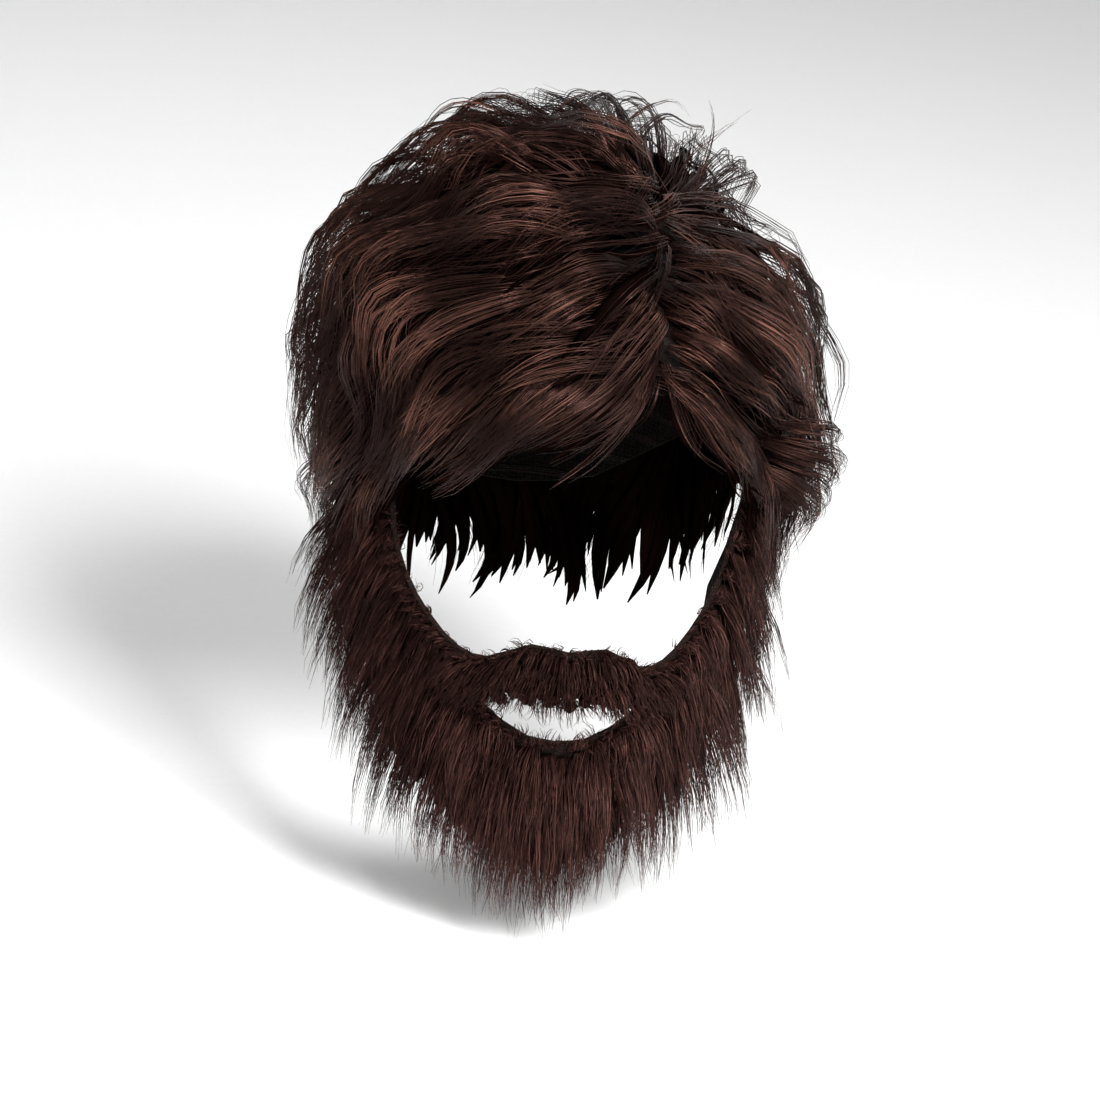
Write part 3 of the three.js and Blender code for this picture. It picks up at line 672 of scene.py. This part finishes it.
def grown(name, tree, guides, slot, replaces=(), **inputs):
    """A piece that a geometry tree grows along guides."""
    guide_mesh = guides.mesh(name + "_guides")
    piece = bpy.data.objects.new(name, guide_mesh)
    bpy.context.collection.objects.link(piece)
    modifier = piece.modifiers.new("grow", "NODES")
    modifier.node_group = tree
    for item in tree.interface.items_tree:
        title = item.name.lower().replace(" ", "_")
        if item.in_out == "INPUT" and title in inputs:
            modifier[item.identifier] = inputs[title]
    depsgraph = bpy.context.evaluated_depsgraph_get()
    mesh = bpy.data.meshes.new_from_object(piece.evaluated_get(depsgraph))
    piece.modifiers.remove(modifier)
    piece.data = mesh
    mesh.name = name
    bpy.data.meshes.remove(guide_mesh)
    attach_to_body(piece, "root")
    if replaces:
        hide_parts(*replaces)


# Materials.
def painted(name):
    """A material, its nodes and its shader."""
    material = bpy.data.materials.new(name)
    material.use_nodes = True
    nodes = Nodes(material.node_tree)
    return material, nodes, material.node_tree.nodes["Principled BSDF"]


def attach(nodes, shader, **wires):
    """Wires to the shader's sockets, each named after its socket."""
    for name, wire in wires.items():
        nodes.tree.links.new(wire.socket, shader.inputs[name.replace("_", " ")])


def coat(nodes, shader, color, roughness, gloss, relief, strength, depth):
    """A shader's color, roughness and gloss, and the strength and depth in metres of its relief."""
    inputs = {"Strength": strength, "Distance": depth, "Height": relief}
    bump = nodes.add("ShaderNodeBump", inputs)["Normal"]
    attach(nodes, shader, Base_Color=color, Roughness=roughness, Normal=bump)
    shader.inputs["Specular IOR Level"].default_value = gloss


def noise(nodes, place, scale, detail, **inputs):
    """Noise over places, about 0.5."""
    inputs = {"Vector": place, "Scale": scale, "Detail": detail, **inputs}
    return nodes.add("ShaderNodeTexNoise", inputs)["Fac"]


def wave_of(wire, pitch):
    """A sine wave along a coordinate."""
    return (wire * (2 * math.pi / pitch)).sin()


def past(value, start, gain):
    """How far a value lies past a start, times a gain."""
    return (value - start) * gain


# A fibre's tone is mixed from its streak, its lock's shade and the hill it lies on, darker in the hollows as
# painted shade.
# Its painted highlights, in the light colour, are lit where they pass their starts, with a gain, and never at
# its root.
STREAK_LENGTH = 1.7
LOCK_STEP = 40.0
STREAK_TONE = 1.3
SHADE_TONE = 0.6
CREST_PAINTED_SHADE = 0.7
TONE_START = 0.85
LIT_STREAK = (0.48, 5.5)
LIT_SHADE = (0.55, 1.0)
LIT_CREST = (0.4, 2.2)
LIT_RISE = 3.0
STREAK_ROUGHNESS = 0.14
HOLLOW_ROUGHNESS = 0.2
BROWN_GLINT = (0.72, 0.35, 0.29, 1)


def fibre_material(name, dark, mid, light, roughness, streaks, gloss):
    """Fibre: streaks along the lock, a shade per lock, painted shade in hollows, painted highlights fading to
    dark roots.
    """
    material, nodes, shader = painted(name)
    along, across, shade, crest = (
        nodes.add("ShaderNodeAttribute", attribute_name=title)["Fac"]
        for title in ("along", "across", "shade", "crest")
    )
    inputs = {"X": across * streaks, "Y": along * STREAK_LENGTH, "Z": shade * LOCK_STEP}
    place = nodes.add("ShaderNodeCombineXYZ", inputs)["Vector"]
    streak = noise(nodes, place, scale=1.0, detail=4.0, Roughness=0.65)
    tone = streak * STREAK_TONE + shade * SHADE_TONE + crest * CREST_PAINTED_SHADE - TONE_START
    color = nodes.mix(tone.clamped(), (*dark, 1), (*mid, 1))
    lit = (past(streak, *LIT_STREAK) + past(shade, *LIT_SHADE)).clamped() * past(crest, *LIT_CREST).clamped()
    color = nodes.mix(lit * (along * LIT_RISE).clamped(), color, (*light, 1))
    rough = roughness + STREAK_ROUGHNESS * (1.0 - streak) + HOLLOW_ROUGHNESS * (0.5 - crest)
    coat(nodes, shader, color, rough, gloss, relief=streak, strength=0.5, depth=0.0006)
    shader.inputs["Specular Tint"].default_value = BROWN_GLINT
    return material


HAIR = fibre_material(
    "glossy dark brown hair", dark=(0.0016, 0.0007, 0.0005), mid=(0.006, 0.0026, 0.002),
    light=(0.165, 0.075, 0.055), roughness=0.24, streaks=16.0, gloss=0.54,
)
# Under hair and under fur: the fibres painted darker and without gloss, as the shade beneath the layers on
# top.
UNDER_HAIR = fibre_material(
    "shaded under hair", dark=(0.002, 0.0009, 0.0007), mid=(0.008, 0.0034, 0.0026),
    light=(0.014, 0.006, 0.0046), roughness=0.7, streaks=14.0, gloss=0.0,
)
FUR = fibre_material(
    "dull dark brown fur", dark=(0.003, 0.0012, 0.001), mid=(0.016, 0.0064, 0.0055),
    light=(0.175, 0.078, 0.066), roughness=0.42, streaks=9.0, gloss=0.32,
)
UNDER_FUR = fibre_material(
    "shaded under fur", dark=(0.002, 0.001, 0.0008), mid=(0.007, 0.0034, 0.0028),
    light=(0.012, 0.006, 0.005), roughness=0.8, streaks=9.0, gloss=0.0,
)

# The finish of the cap's net and bands and of the beard's knitted cloth, with pitches in metres.
NET_SCALE = 620.0
BAND_PITCH = 0.011
BAND_WEAVE = 0.0009
STITCH_WIDTH = 0.0016
STITCH_HEIGHT = 0.0013
STITCH_BEND = 0.0005
FUZZ_SCALE = 900.0
CLOTH_GLOSS = 0.12


def net_material():
    """Thin stretch net with sewn bands."""
    material, nodes, shader = painted("dark stretch net")
    place = nodes.add("ShaderNodeTexCoord")["Object"]
    inputs = {"Vector": place, "Scale": NET_SCALE, "Randomness": 0.35}
    cell = nodes.add("ShaderNodeTexVoronoi", inputs, feature="DISTANCE_TO_EDGE")["Distance"]
    thread = 1.0 - (cell * 7.0).clamped()
    height = nodes.add("ShaderNodeSeparateXYZ", {0: place})["Z"]
    band = (wave_of(height, BAND_PITCH) * 4.0 - 2.4).clamped()
    weave = (wave_of(height, BAND_WEAVE) * 0.5 + 0.5) * band
    relief = thread * (1.0 - band) + weave * 0.6 + band
    tone = (thread * 0.6 + band * 0.5).clamped()
    color = nodes.mix(tone, (0.003, 0.0018, 0.0014, 1), (0.016, 0.01, 0.008, 1))
    coat(nodes, shader, color, 0.9 - 0.25 * thread, CLOTH_GLOSS, relief, strength=0.8, depth=0.0008)
    return material


def knit_material():
    """Fine knitted backing cloth."""
    material, nodes, shader = painted("dark knitted backing")
    place = nodes.add("ShaderNodeTexCoord")["Object"]
    parts = nodes.add("ShaderNodeSeparateXYZ", {0: place})
    column = wave_of(parts["X"], STITCH_WIDTH)
    rib = column * column
    stitch = wave_of(parts["Z"] + rib * STITCH_BEND, STITCH_HEIGHT) * 0.5 + 0.5
    relief = stitch * (0.35 + 0.65 * rib)
    fuzz = noise(nodes, place, FUZZ_SCALE, detail=3.0)
    # The tone follows the stitch relief, the grooves painted darker as shade, and fuzz varies it at random.
    tone = (relief * 0.7 + fuzz * 0.4).clamped()
    color = nodes.mix(tone, (0.004, 0.0022, 0.0018, 1), (0.022, 0.012, 0.0095, 1))
    coat(nodes, shader, color, 0.85 + 0.1 * fuzz, CLOTH_GLOSS, relief, strength=0.7, depth=0.0006)
    return material


# The CAD nodes that stay, each with its own finish.
for name, material in (("wig_cap", net_material()), ("beard_cloth", knit_material())):
    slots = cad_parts[name].data.materials
    slots.clear()
    slots.append(material)


# The wig's hair by region, with the azimuths and levels that each region covers.
Region = namedtuple("Region", "node azimuths levels lock_fibres sweep_fibres sweep_shades sweep_depths")
REGIONS = {
    "crown": Region("crown_hair", (-180, 180), (0.0, 0.46), 9, 23, (0.35, 0.9), (0.9, 1.1)),
    "fringe": Region("fringe", (-57, 57), (0.46, 0.9), 10, 27, (0.85, 1.5), (0.9, 1.1)),
    "left": Region("side_hair_left", (58, 125), (0.46, 1.2), 9, 21, (0.4, 1.0), (0.92, 1.13)),
    "right": Region("side_hair_right", (-125, -58), (0.46, 1.2), 9, 21, (0.4, 1.0), (0.95, 1.18)),
    "nape": Region("nape_hair", (125, 235), (0.46, 1.55), 6, 13, (0.4, 1.0), (0.9, 1.1)),
}
CURL_UP = (-0.1, 0.15)
LEFT_CURL_UP = 0.16
LONGEST = 1.12
FAR_FROM_PART = 1.0


def hair_at(rng, roots, half, depth, shortest=0.85, share=1.0, **options):
    """Guides of the locks at roots: azimuths and levels."""
    length, lift = combed(*roots.T)
    count = len(roots)
    flick = rng.uniform(*CURL_UP, count) + LEFT_CURL_UP * (np.sin(np.radians(roots[:, 0])) > 0.3)
    length = share * length * rng.uniform(shortest, LONGEST, count)
    half = rng.uniform(*half, count)
    depth = rng.uniform(*depth, count)
    return hair_guides(rng, *roots.T, length, lift, half, depth, flick, **options)


def region_roots(rng, region, pitch):
    return hair_roots(rng, *region.azimuths, *region.levels, pitch)


def clear_of_part(roots, distance):
    """The roots that lie further than a distance from the whorl and the part."""
    points = form_point(HEAD, *roots.T)
    from_part = np.abs(points[:, 0] - part_at(points[:, 1]))
    from_part = np.where(points[:, 1] < whorl_point[1], from_part, FAR_FROM_PART)
    from_whorl = np.linalg.norm(points - whorl_point, axis=-1)
    return roots[np.minimum(from_part, from_whorl) > distance]


def within(roots, region):
    """The roots that lie in a region's levels."""
    low, high = region.levels
    return roots[(roots[:, 1] >= low) & (roots[:, 1] < high)]


def hair_locks(name, guides, **inputs):
    grown(name, LOCK_TREE, guides, "wig_hair", material=UNDER_HAIR, **inputs)


def hair_fibres(name, guides, seed, **inputs):
    inputs = {"spread": 1.2, "radius": 0.00024, **inputs}
    grown(name, FIBRE_TREE, guides, "wig_hair", sides=3, seed=seed, material=HAIR, **inputs)


# Each region has dark locks under, locks with darker fibres on them, and wider sweeps of lighter fibres on
# top: painted shade in the lower layers and painted light on top. The fringe's sweeps get more painted
# highlight, and more short locks hang from the cap's rim behind the ears.
FRINGE_PAINTED_HIGHLIGHT = 0.24
BEHIND_EAR = {"left": (106, 144), "right": (-144, -106)}
parting = part_roots(np.random.default_rng(7), pitch=0.0042, offset=0.0022)
for seed, (name, region) in enumerate(REGIONS.items()):
    rng = np.random.default_rng(100 + seed)
    roots = clear_of_part(region_roots(rng, region, pitch=0.0098), distance=0.012)
    under = hair_at(rng, roots, half=(0.0032, 0.0052), depth=(0.3, 0.55), shortest=0.5, share=0.8, stations=7)
    if name in BEHIND_EAR:
        rim = hairline_roots(np.random.default_rng(150 + seed), *BEHIND_EAR[name], pitch=0.004)
        rim = hair_at(rng, rim, half=(0.0034, 0.0054), depth=(0.3, 0.6), share=0.95, sway=0.3, drop=1.2,
                      stations=7)
        under = joined(under, rim)
    hair_locks(name + "_under_locks", under, replaces=[region.node], width=1.0, flatness=0.3, sides=5,
               sink=0.0)
    roots = region_roots(rng, region, pitch=0.0105)
    locks = hair_at(rng, roots, half=(0.004, 0.007), depth=(0.5, 0.98), shade=(0.0, 0.55))
    if name in ("crown", "fringe"):
        part = hair_at(rng, within(parting, region), half=(0.0022, 0.0036), depth=(0.35, 0.75), shortest=0.5)
        locks = joined(locks, part)
    if name == "fringe":
        rim = hairline_roots(rng, -54, 54, pitch=0.003)
        rim = hair_at(rng, rim, half=(0.0022, 0.0038), depth=(0.6, 1.05), share=1.2, turn=0.14, sway=0.35,
                      drop=FRINGE_DROP)
        locks = joined(locks, rim)
    hair_locks(name + "_locks", locks, width=0.5, flatness=0.2, sides=4, sink=0.006)
    hair_fibres(name + "_fibres", locks, seed, fibres=region.lock_fibres, depth=0.0024,
                radius=0.00022, wave=0.008, wave_scale=20.0, shortest=0.55)
    roots = region_roots(rng, region, pitch=0.018)
    sweeps = hair_at(rng, roots, half=(0.0045, 0.0075), depth=region.sweep_depths,
                     shade=region.sweep_shades, turn=0.3, stations=12)
    if name == "fringe":
        sweeps.crest = np.clip(sweeps.crest + FRINGE_PAINTED_HIGHLIGHT, 0, 1)
    hair_fibres(name + "_sweeps", sweeps, seed + 20, fibres=region.sweep_fibres, spread=1.1, depth=0.0034,
                wave=0.007, wave_scale=20.0, shortest=0.6)


# Loose hair: high arcs on the crown, wisps over it, curls at the left temple, and strays.
STRAY_MARGIN = 0.05
# The crest given to drawn hair sets its painted highlights and shade.
DRAWN_HIGHLIGHT_CREST = 0.6
DRAWN_SHADE = (0, 0.5)


def smooth_line(points, stations=10):
    """Evenly shared points on a smooth curve through a few."""
    points = np.asarray(points, float)
    points = np.concatenate([[2 * points[0] - points[1]], points, [2 * points[-1] - points[-2]]])
    spans = len(points) - 3
    line = []
    for place in np.linspace(0, spans, stations + 1):
        row = min(int(place), spans - 1)
        share = place - row
        a, b, c, d = points[row:row + 4]
        line.append(0.5 * (2 * b + (c - a) * share + (2 * a - 5 * b + 4 * c - d) * share**2
                           + (3 * b - a - 3 * c + d) * share**3))
    return np.array(line)


def drawn_guides(rng, drawings, half):
    """Guides through points in millimetres."""
    lines = np.stack([smooth_line(points) for points in drawings]) / 1000
    outs = unit(lines - np.array([0, 0, -CROWN_HEIGHT]))
    crest = np.full(lines.shape[:2], DRAWN_HIGHLIGHT_CREST)
    half = rng.uniform(*half, len(lines))
    return Guides(lines, outs, crest, half, rng.uniform(*DRAWN_SHADE, len(lines)))


def scattered_roots(rng, azimuths, levels, count):
    return np.stack([rng.uniform(*azimuths, count), rng.uniform(*levels, count)], -1)


rng = np.random.default_rng(500)
right_arcs = scattered_roots(rng, (-170, -50), (0.06, 0.42), 14)
left_arcs = scattered_roots(rng, (62, 170), (0.06, 0.42), 12)
arcs = np.concatenate([right_arcs, left_arcs])
arcs = hair_at(rng, arcs, half=(0.001, 0.002), depth=(1.02, 1.16), turn=0.35, stations=20)
hair_fibres("loose_arcs", arcs, 51, fibres=8, depth=0.0016, wave=0.006, wave_scale=24.0, shortest=0.7)
WISPS = [
    [(30, -8, -4), (38, 4, 6), (50, 14, 16), (64, 20, 26)],
    [(40, -2, -8), (46, 8, 8), (48, 16, 20), (44, 20, 32)],
    [(12, 10, 8), (18, 22, 18), (34, 30, 24), (44, 30, 14)],
    [(-20, 8, 6), (-12, 22, 18), (4, 32, 24), (22, 34, 20)],
    [(-40, 0, -6), (-52, 12, 6), (-66, 16, 6), (-78, 14, -6)],
]
wisps = drawn_guides(rng, WISPS, half=(0.0008, 0.0016))
hair_fibres("wisps", wisps, 52, fibres=8, depth=0.001, radius=0.0002, wave=0.006,
            wave_scale=30.0, shortest=0.6)
CURLS = [
    [(72, -50, -77), (86, -54, -77), (95, -52, -78), (99, -48, -83), (96, -46, -87)],
    [(72, -52, -84), (86, -57, -85), (97, -55, -87), (102, -51, -92), (100, -48, -99)],
    [(70, -54, -88), (84, -58, -90), (95, -56, -93), (100, -52, -99), (97, -49, -104)],
    [(72, -48, -93), (85, -52, -96), (95, -52, -101), (99, -49, -107), (98, -47, -113)],
    [(70, -54, -96), (83, -56, -100), (93, -54, -106), (96, -51, -113), (93, -49, -118)],
    [(70, -46, -101), (82, -50, -106), (90, -50, -112), (92, -48, -119), (88, -48, -123)],
    [(68, -58, -82), (82, -62, -84), (93, -60, -87), (98, -56, -94), (96, -52, -101)],
    [(68, -60, -92), (80, -62, -97), (89, -60, -104), (92, -56, -112), (88, -53, -118)],
]
curls = drawn_guides(rng, CURLS, half=(0.0026, 0.004))
hair_fibres("temple_curls", curls, 53, fibres=34, depth=0.004, wave=0.004, wave_scale=30.0, shortest=0.7)
strays = scattered_roots(rng, (-180, 180), (0.1, 0.95), 60)
strays = strays[strays[:, 1] < rim_level(strays[:, 0]) - STRAY_MARGIN]
strays = hair_at(rng, strays, half=(0.002, 0.004), depth=(1.0, 1.14), turn=0.6, stations=16)
hair_fibres("stray_hairs", strays, 54, fibres=2, spread=1.0, depth=0.003, radius=0.00014, wave=0.012,
            wave_scale=24.0, shortest=0.6)


# The beard's fur.
def cloth_roots(rng, start, end, top, bottom, pitch):
    """Roots spread over the cloth between two edges: azimuth, level, and share of the way down."""
    rows = []
    reach = (HALF_WIDTH + FRONT_REACH) / 2
    count = round(math.radians(end - start) * reach / pitch)
    for azimuth in start + (end - start) * (np.arange(count) + 0.5) / count:
        high, low = float(top(azimuth)), float(bottom(azimuth))
        steps = max(1, round((low - high) * CROWN_HEIGHT / pitch))
        place = (np.arange(steps) + rng.uniform(0.0, 0.9, steps)) / steps
        jitter = rng.uniform(-0.5, 0.5, steps) * (end - start) / count
        rows.append(np.stack([azimuth + jitter, high + (low - high) * place, place], -1))
    return np.concatenate(rows)


# The short fur along the cloth's edges.
EDGE_STEP = 0.2
EDGE_SCATTER = (-0.006, 0.01)
EDGE_FALL = (-0.5, 1.2)
EDGE_LEAN = (-0.5, 0.8)
EDGE_HALF = (0.0014, 0.0022)


def edge_fur(rng, start, end, edge, pitch, splay, fall, shade, length=(0.07, 0.15)):
    """Guides of the short fur that turns out over an edge of the cloth."""
    azimuth = np.arange(start, end, EDGE_STEP)
    points = form_point(HEAD, azimuth, edge(azimuth))
    run = np.concatenate([[0], np.cumsum(np.linalg.norm(np.diff(points, axis=0), axis=-1))])
    count = round(run[-1] / pitch)
    place = (np.arange(count) + rng.uniform(0, 1, count)) / count
    azimuth = np.interp(place * run[-1], run, azimuth)
    level = edge(azimuth) - fall * rng.uniform(*EDGE_SCATTER, count)
    fall = fall * rng.uniform(*EDGE_FALL, count)
    length = rng.uniform(*length, count)
    lean = rng.uniform(*EDGE_LEAN, count)
    half = rng.uniform(*EDGE_HALF, count)
    root = rng.uniform(0.0, 1.0, count) * CLOTH_WALL
    return fur_guides(rng, azimuth, level, length, lean, splay, half, root=root, wave=0.25, fall=fall,
                      shade=shade)


UNDER_LENGTH = 0.5
UNDER_LEAN = 0.6


def fur_piece(name, node, seed, roots, length, lean, splay, edges, shade, fibres=21, half=(0.0026, 0.004)):
    """Locks of fur, the fine fibres over them, and the short fur at the edges."""
    rng = np.random.default_rng(seed)
    count = len(roots)
    lean = lean * rng.uniform(0.6, 1.4, count)
    length = length * rng.uniform(0.85, 1.15, count)
    half = rng.uniform(*half, count)
    under = fur_guides(rng, *roots.T[:2], length * UNDER_LENGTH, lean * UNDER_LEAN, splay, half)
    grown(name + "_under_locks", LOCK_TREE, under, "beard_fur", replaces=[node],
          width=1.2, flatness=0.35, sides=6, sink=0.0, material=UNDER_FUR)
    locks = fur_guides(rng, *roots.T[:2], length, lean, splay, half, shade=shade)
    grown(name + "_fibres", FIBRE_TREE, joined(locks, *edges), "beard_fur", fibres=fibres, spread=1.9,
          depth=0.004, radius=0.00019, wave=0.006, wave_scale=45.0, shortest=0.5, sides=3, seed=seed,
          material=FUR)


# How low the fur hangs, as a level by azimuth: on the wearer's right, and further on the wearer's left.
# Fur is short at the cloth's upper edge, and its length in metres has limits.
FUR_REACH = np.array([
    (0, 2.75, 2.75), (14, 2.67, 2.67), (26, 2.62, 2.6), (40, 2.57, 2.6), (55, 2.44, 2.6), (65, 2.26, 2.54),
    (75, 2.06, 2.34), (86, 1.9, 2.05),
])
FUR_LIMITS = (0.018, 0.062)
EDGE_SHARE = 0.3
SHARE_GROWTH = 1.1

# Lean and splay of fur: at the cloth's upper edge, their change downward, and both as added at the cheeks.
FUR_COMB = {"lean": (0.3, -0.15, -0.08, 0.25), "splay": (0.2, -0.28, 0.25, -0.02)}
CHEEK_START = 15
CHEEK_SPAN = 40


def jaw_length(azimuth, level, share):
    """Lengths of fur that ends at the beard's outline, short at the cloth's upper edge."""
    turn = np.abs(azimuth)
    reach = np.where(azimuth < 0, value_at(FUR_REACH, 1, turn), value_at(FUR_REACH, 2, turn))
    length = np.clip((reach - level) * CROWN_HEIGHT, *FUR_LIMITS)
    return length / FUR_LENGTH * np.minimum(1, EDGE_SHARE + SHARE_GROWTH * share)


def lower_lip(azimuth):
    return mouth_level(2, azimuth)


def upper_lip(azimuth):
    return mouth_level(1, azimuth)


def fur_comb(azimuth, share):
    """Lean and splay of fur by azimuth, and by its share of the way down the cloth."""
    side = np.clip((np.abs(azimuth) - CHEEK_START) / CHEEK_SPAN, 0, 1)
    return [
        top + down * share + side * (cheek_top + cheek_down * share)
        for top, down, cheek_top, cheek_down in FUR_COMB.values()
    ]


# The fur's shades hold painted light and shade as the key lamp falls from the wearer's left front: darker on
# the wearer's right side, lighter on the chin.
for side, azimuths, shade in (("left", (40, 86), (0.1, 0.9)), ("right", (-86, -40), (-0.3, 0.4))):
    rng = np.random.default_rng(200 + azimuths[1])
    roots = cloth_roots(rng, *azimuths, beard_top, beard_bottom, pitch=0.0055)
    edge = edge_fur(rng, *azimuths, beard_top, pitch=0.0024, splay=0.3, fall=-0.6, shade=shade)
    lean, splay = fur_comb(roots[:, 0], roots[:, 2])
    name = "sideburn_" + side
    fur_piece(name, name, 300 + azimuths[1], roots, jaw_length(*roots.T), lean, splay, [edge], shade)

# The chin's fur takes lighter shades: painted light where the key lamp falls.
rng = np.random.default_rng(400)
roots = cloth_roots(rng, -40, 40, lower_lip, beard_bottom, pitch=0.0055)
edge = edge_fur(rng, -28, 28, lower_lip, pitch=0.0022, splay=0.2, fall=-0.6, shade=(0.1, 0.8))
lean, splay = fur_comb(roots[:, 0], roots[:, 2])
fur_piece("chin", "chin_fur", 401, roots, jaw_length(*roots.T), lean, splay, [edge], shade=(0.2, 1.2))

roots = cloth_roots(rng, -40, 40, beard_top, upper_lip, pitch=0.0045)
length = 0.3 - 0.12 * roots[:, 2]
edges = [
    edge_fur(rng, -40, 40, beard_top, pitch=0.0022, splay=0.8, fall=-0.6, shade=(0.0, 0.5),
             length=(0.06, 0.11)),
    edge_fur(rng, -28, 28, upper_lip, pitch=0.0022, splay=0.9, fall=1.0, shade=(0.0, 0.4),
             length=(0.14, 0.22)),
]
fur_piece("moustache", "moustache", 402, roots, length, lean=0.4, splay=1.5, edges=edges, shade=(-0.2, 0.35),
          fibres=12, half=(0.0018, 0.003))


# Floor, light and camera.
AIM = Vector((-0.0106, -0.087, -0.1223))
CAMERA_AZIMUTH = -9.5
CAMERA_ELEVATION = 20.0
CAMERA_ROLL = 7.5
CAMERA_DISTANCE = 1.5
FRAME_WIDTH = 0.4104
FLOOR_HEIGHT = -0.286


LIGHT_AIM = Vector((0, 0, -0.1))
SENSOR_WIDTH = 36


def way_to(azimuth, elevation):
    """The way to an azimuth and an elevation in degrees."""
    turn, rise = math.radians(azimuth), math.radians(elevation)
    return Vector((math.sin(turn) * math.cos(rise), -math.cos(turn) * math.cos(rise), math.sin(rise)))


def add_camera():
    """The photo's view."""
    back = way_to(CAMERA_AZIMUTH, CAMERA_ELEVATION)
    turn = math.radians(CAMERA_AZIMUTH)
    right = Vector((math.cos(turn), math.sin(turn), 0))
    up = back.cross(right)
    roll = math.radians(CAMERA_ROLL)
    across = right * math.cos(roll) + up * math.sin(roll)
    tall = up * math.cos(roll) - right * math.sin(roll)
    data = bpy.data.cameras.new("camera")
    data.sensor_width = SENSOR_WIDTH
    data.lens = data.sensor_width * CAMERA_DISTANCE / FRAME_WIDTH
    data.clip_end = 20
    camera = bpy.data.objects.new("camera", data)
    bpy.context.collection.objects.link(camera)
    turn = Matrix((across, tall, back)).transposed().to_4x4()
    camera.matrix_world = Matrix.Translation(AIM + back * CAMERA_DISTANCE) @ turn
    bpy.context.scene.camera = camera


def add_light(name, azimuth, elevation, distance, size, power):
    """A soft square light that looks at the wig."""
    data = bpy.data.lights.new(name, "AREA")
    data.size = size
    data.energy = power
    light = bpy.data.objects.new(name, data)
    bpy.context.collection.objects.link(light)
    way = way_to(azimuth, elevation)
    light.location = LIGHT_AIM + way * distance
    light.rotation_euler = way.to_track_quat("Z", "Y").to_euler()


def add_floor():
    """A plain pale floor that curves up all round into a backdrop."""
    flat, sweep, rise, steps, turns = 1.9, 0.8, 3.0, 12, 64
    profile = [(0.02, 0.0), (flat, 0.0)]
    for step in range(1, steps + 1):
        angle = math.pi / 2 * step / steps
        profile.append((flat + sweep * math.sin(angle), sweep * (1 - math.cos(angle))))
    profile.append((flat + sweep, rise))
    size = len(profile)
    around = [2 * math.pi * turn / turns for turn in range(turns)]
    points = [
        (x * math.cos(angle), x * math.sin(angle), FLOOR_HEIGHT + z) for angle in around for x, z in profile
    ]
    points.append((0, 0, FLOOR_HEIGHT))
    faces = []
    for turn in range(turns):
        first, second = turn * size, (turn + 1) % turns * size
        for index in range(size - 1):
            faces.append((first + index, first + index + 1, second + index + 1, second + index))
        faces.append((first, second, len(points) - 1))
    mesh = bpy.data.meshes.new("floor")
    mesh.from_pydata(points, [], faces)
    for face in mesh.polygons:
        face.use_smooth = True
    material, nodes, shader = painted("pale studio paper")
    place = nodes.add("ShaderNodeTexCoord")["Object"]
    grain = noise(nodes, place, scale=300.0, detail=2.0)
    attach(nodes, shader, Base_Color=nodes.mix(grain, (0.88, 0.88, 0.88, 1), (0.92, 0.92, 0.92, 1)))
    shader.inputs["Roughness"].default_value = 0.9
    mesh.materials.append(material)
    floor = bpy.data.objects.new("floor", mesh)
    bpy.context.collection.objects.link(floor)


add_camera()
add_floor()
add_light("key", azimuth=22, elevation=42, distance=1.6, size=0.6, power=50)
add_light("fill", azimuth=-55, elevation=35, distance=1.8, size=0.8, power=8)
add_light("back", azimuth=175, elevation=50, distance=1.6, size=1.0, power=7)
world = bpy.data.worlds.new("studio")
world.use_nodes = True
light = world.node_tree.nodes["Background"].inputs
light["Color"].default_value = (1, 1, 1, 1)
light["Strength"].default_value = 0.07
bpy.context.scene.world = world
bpy.context.scene.view_settings.view_transform = "Standard"
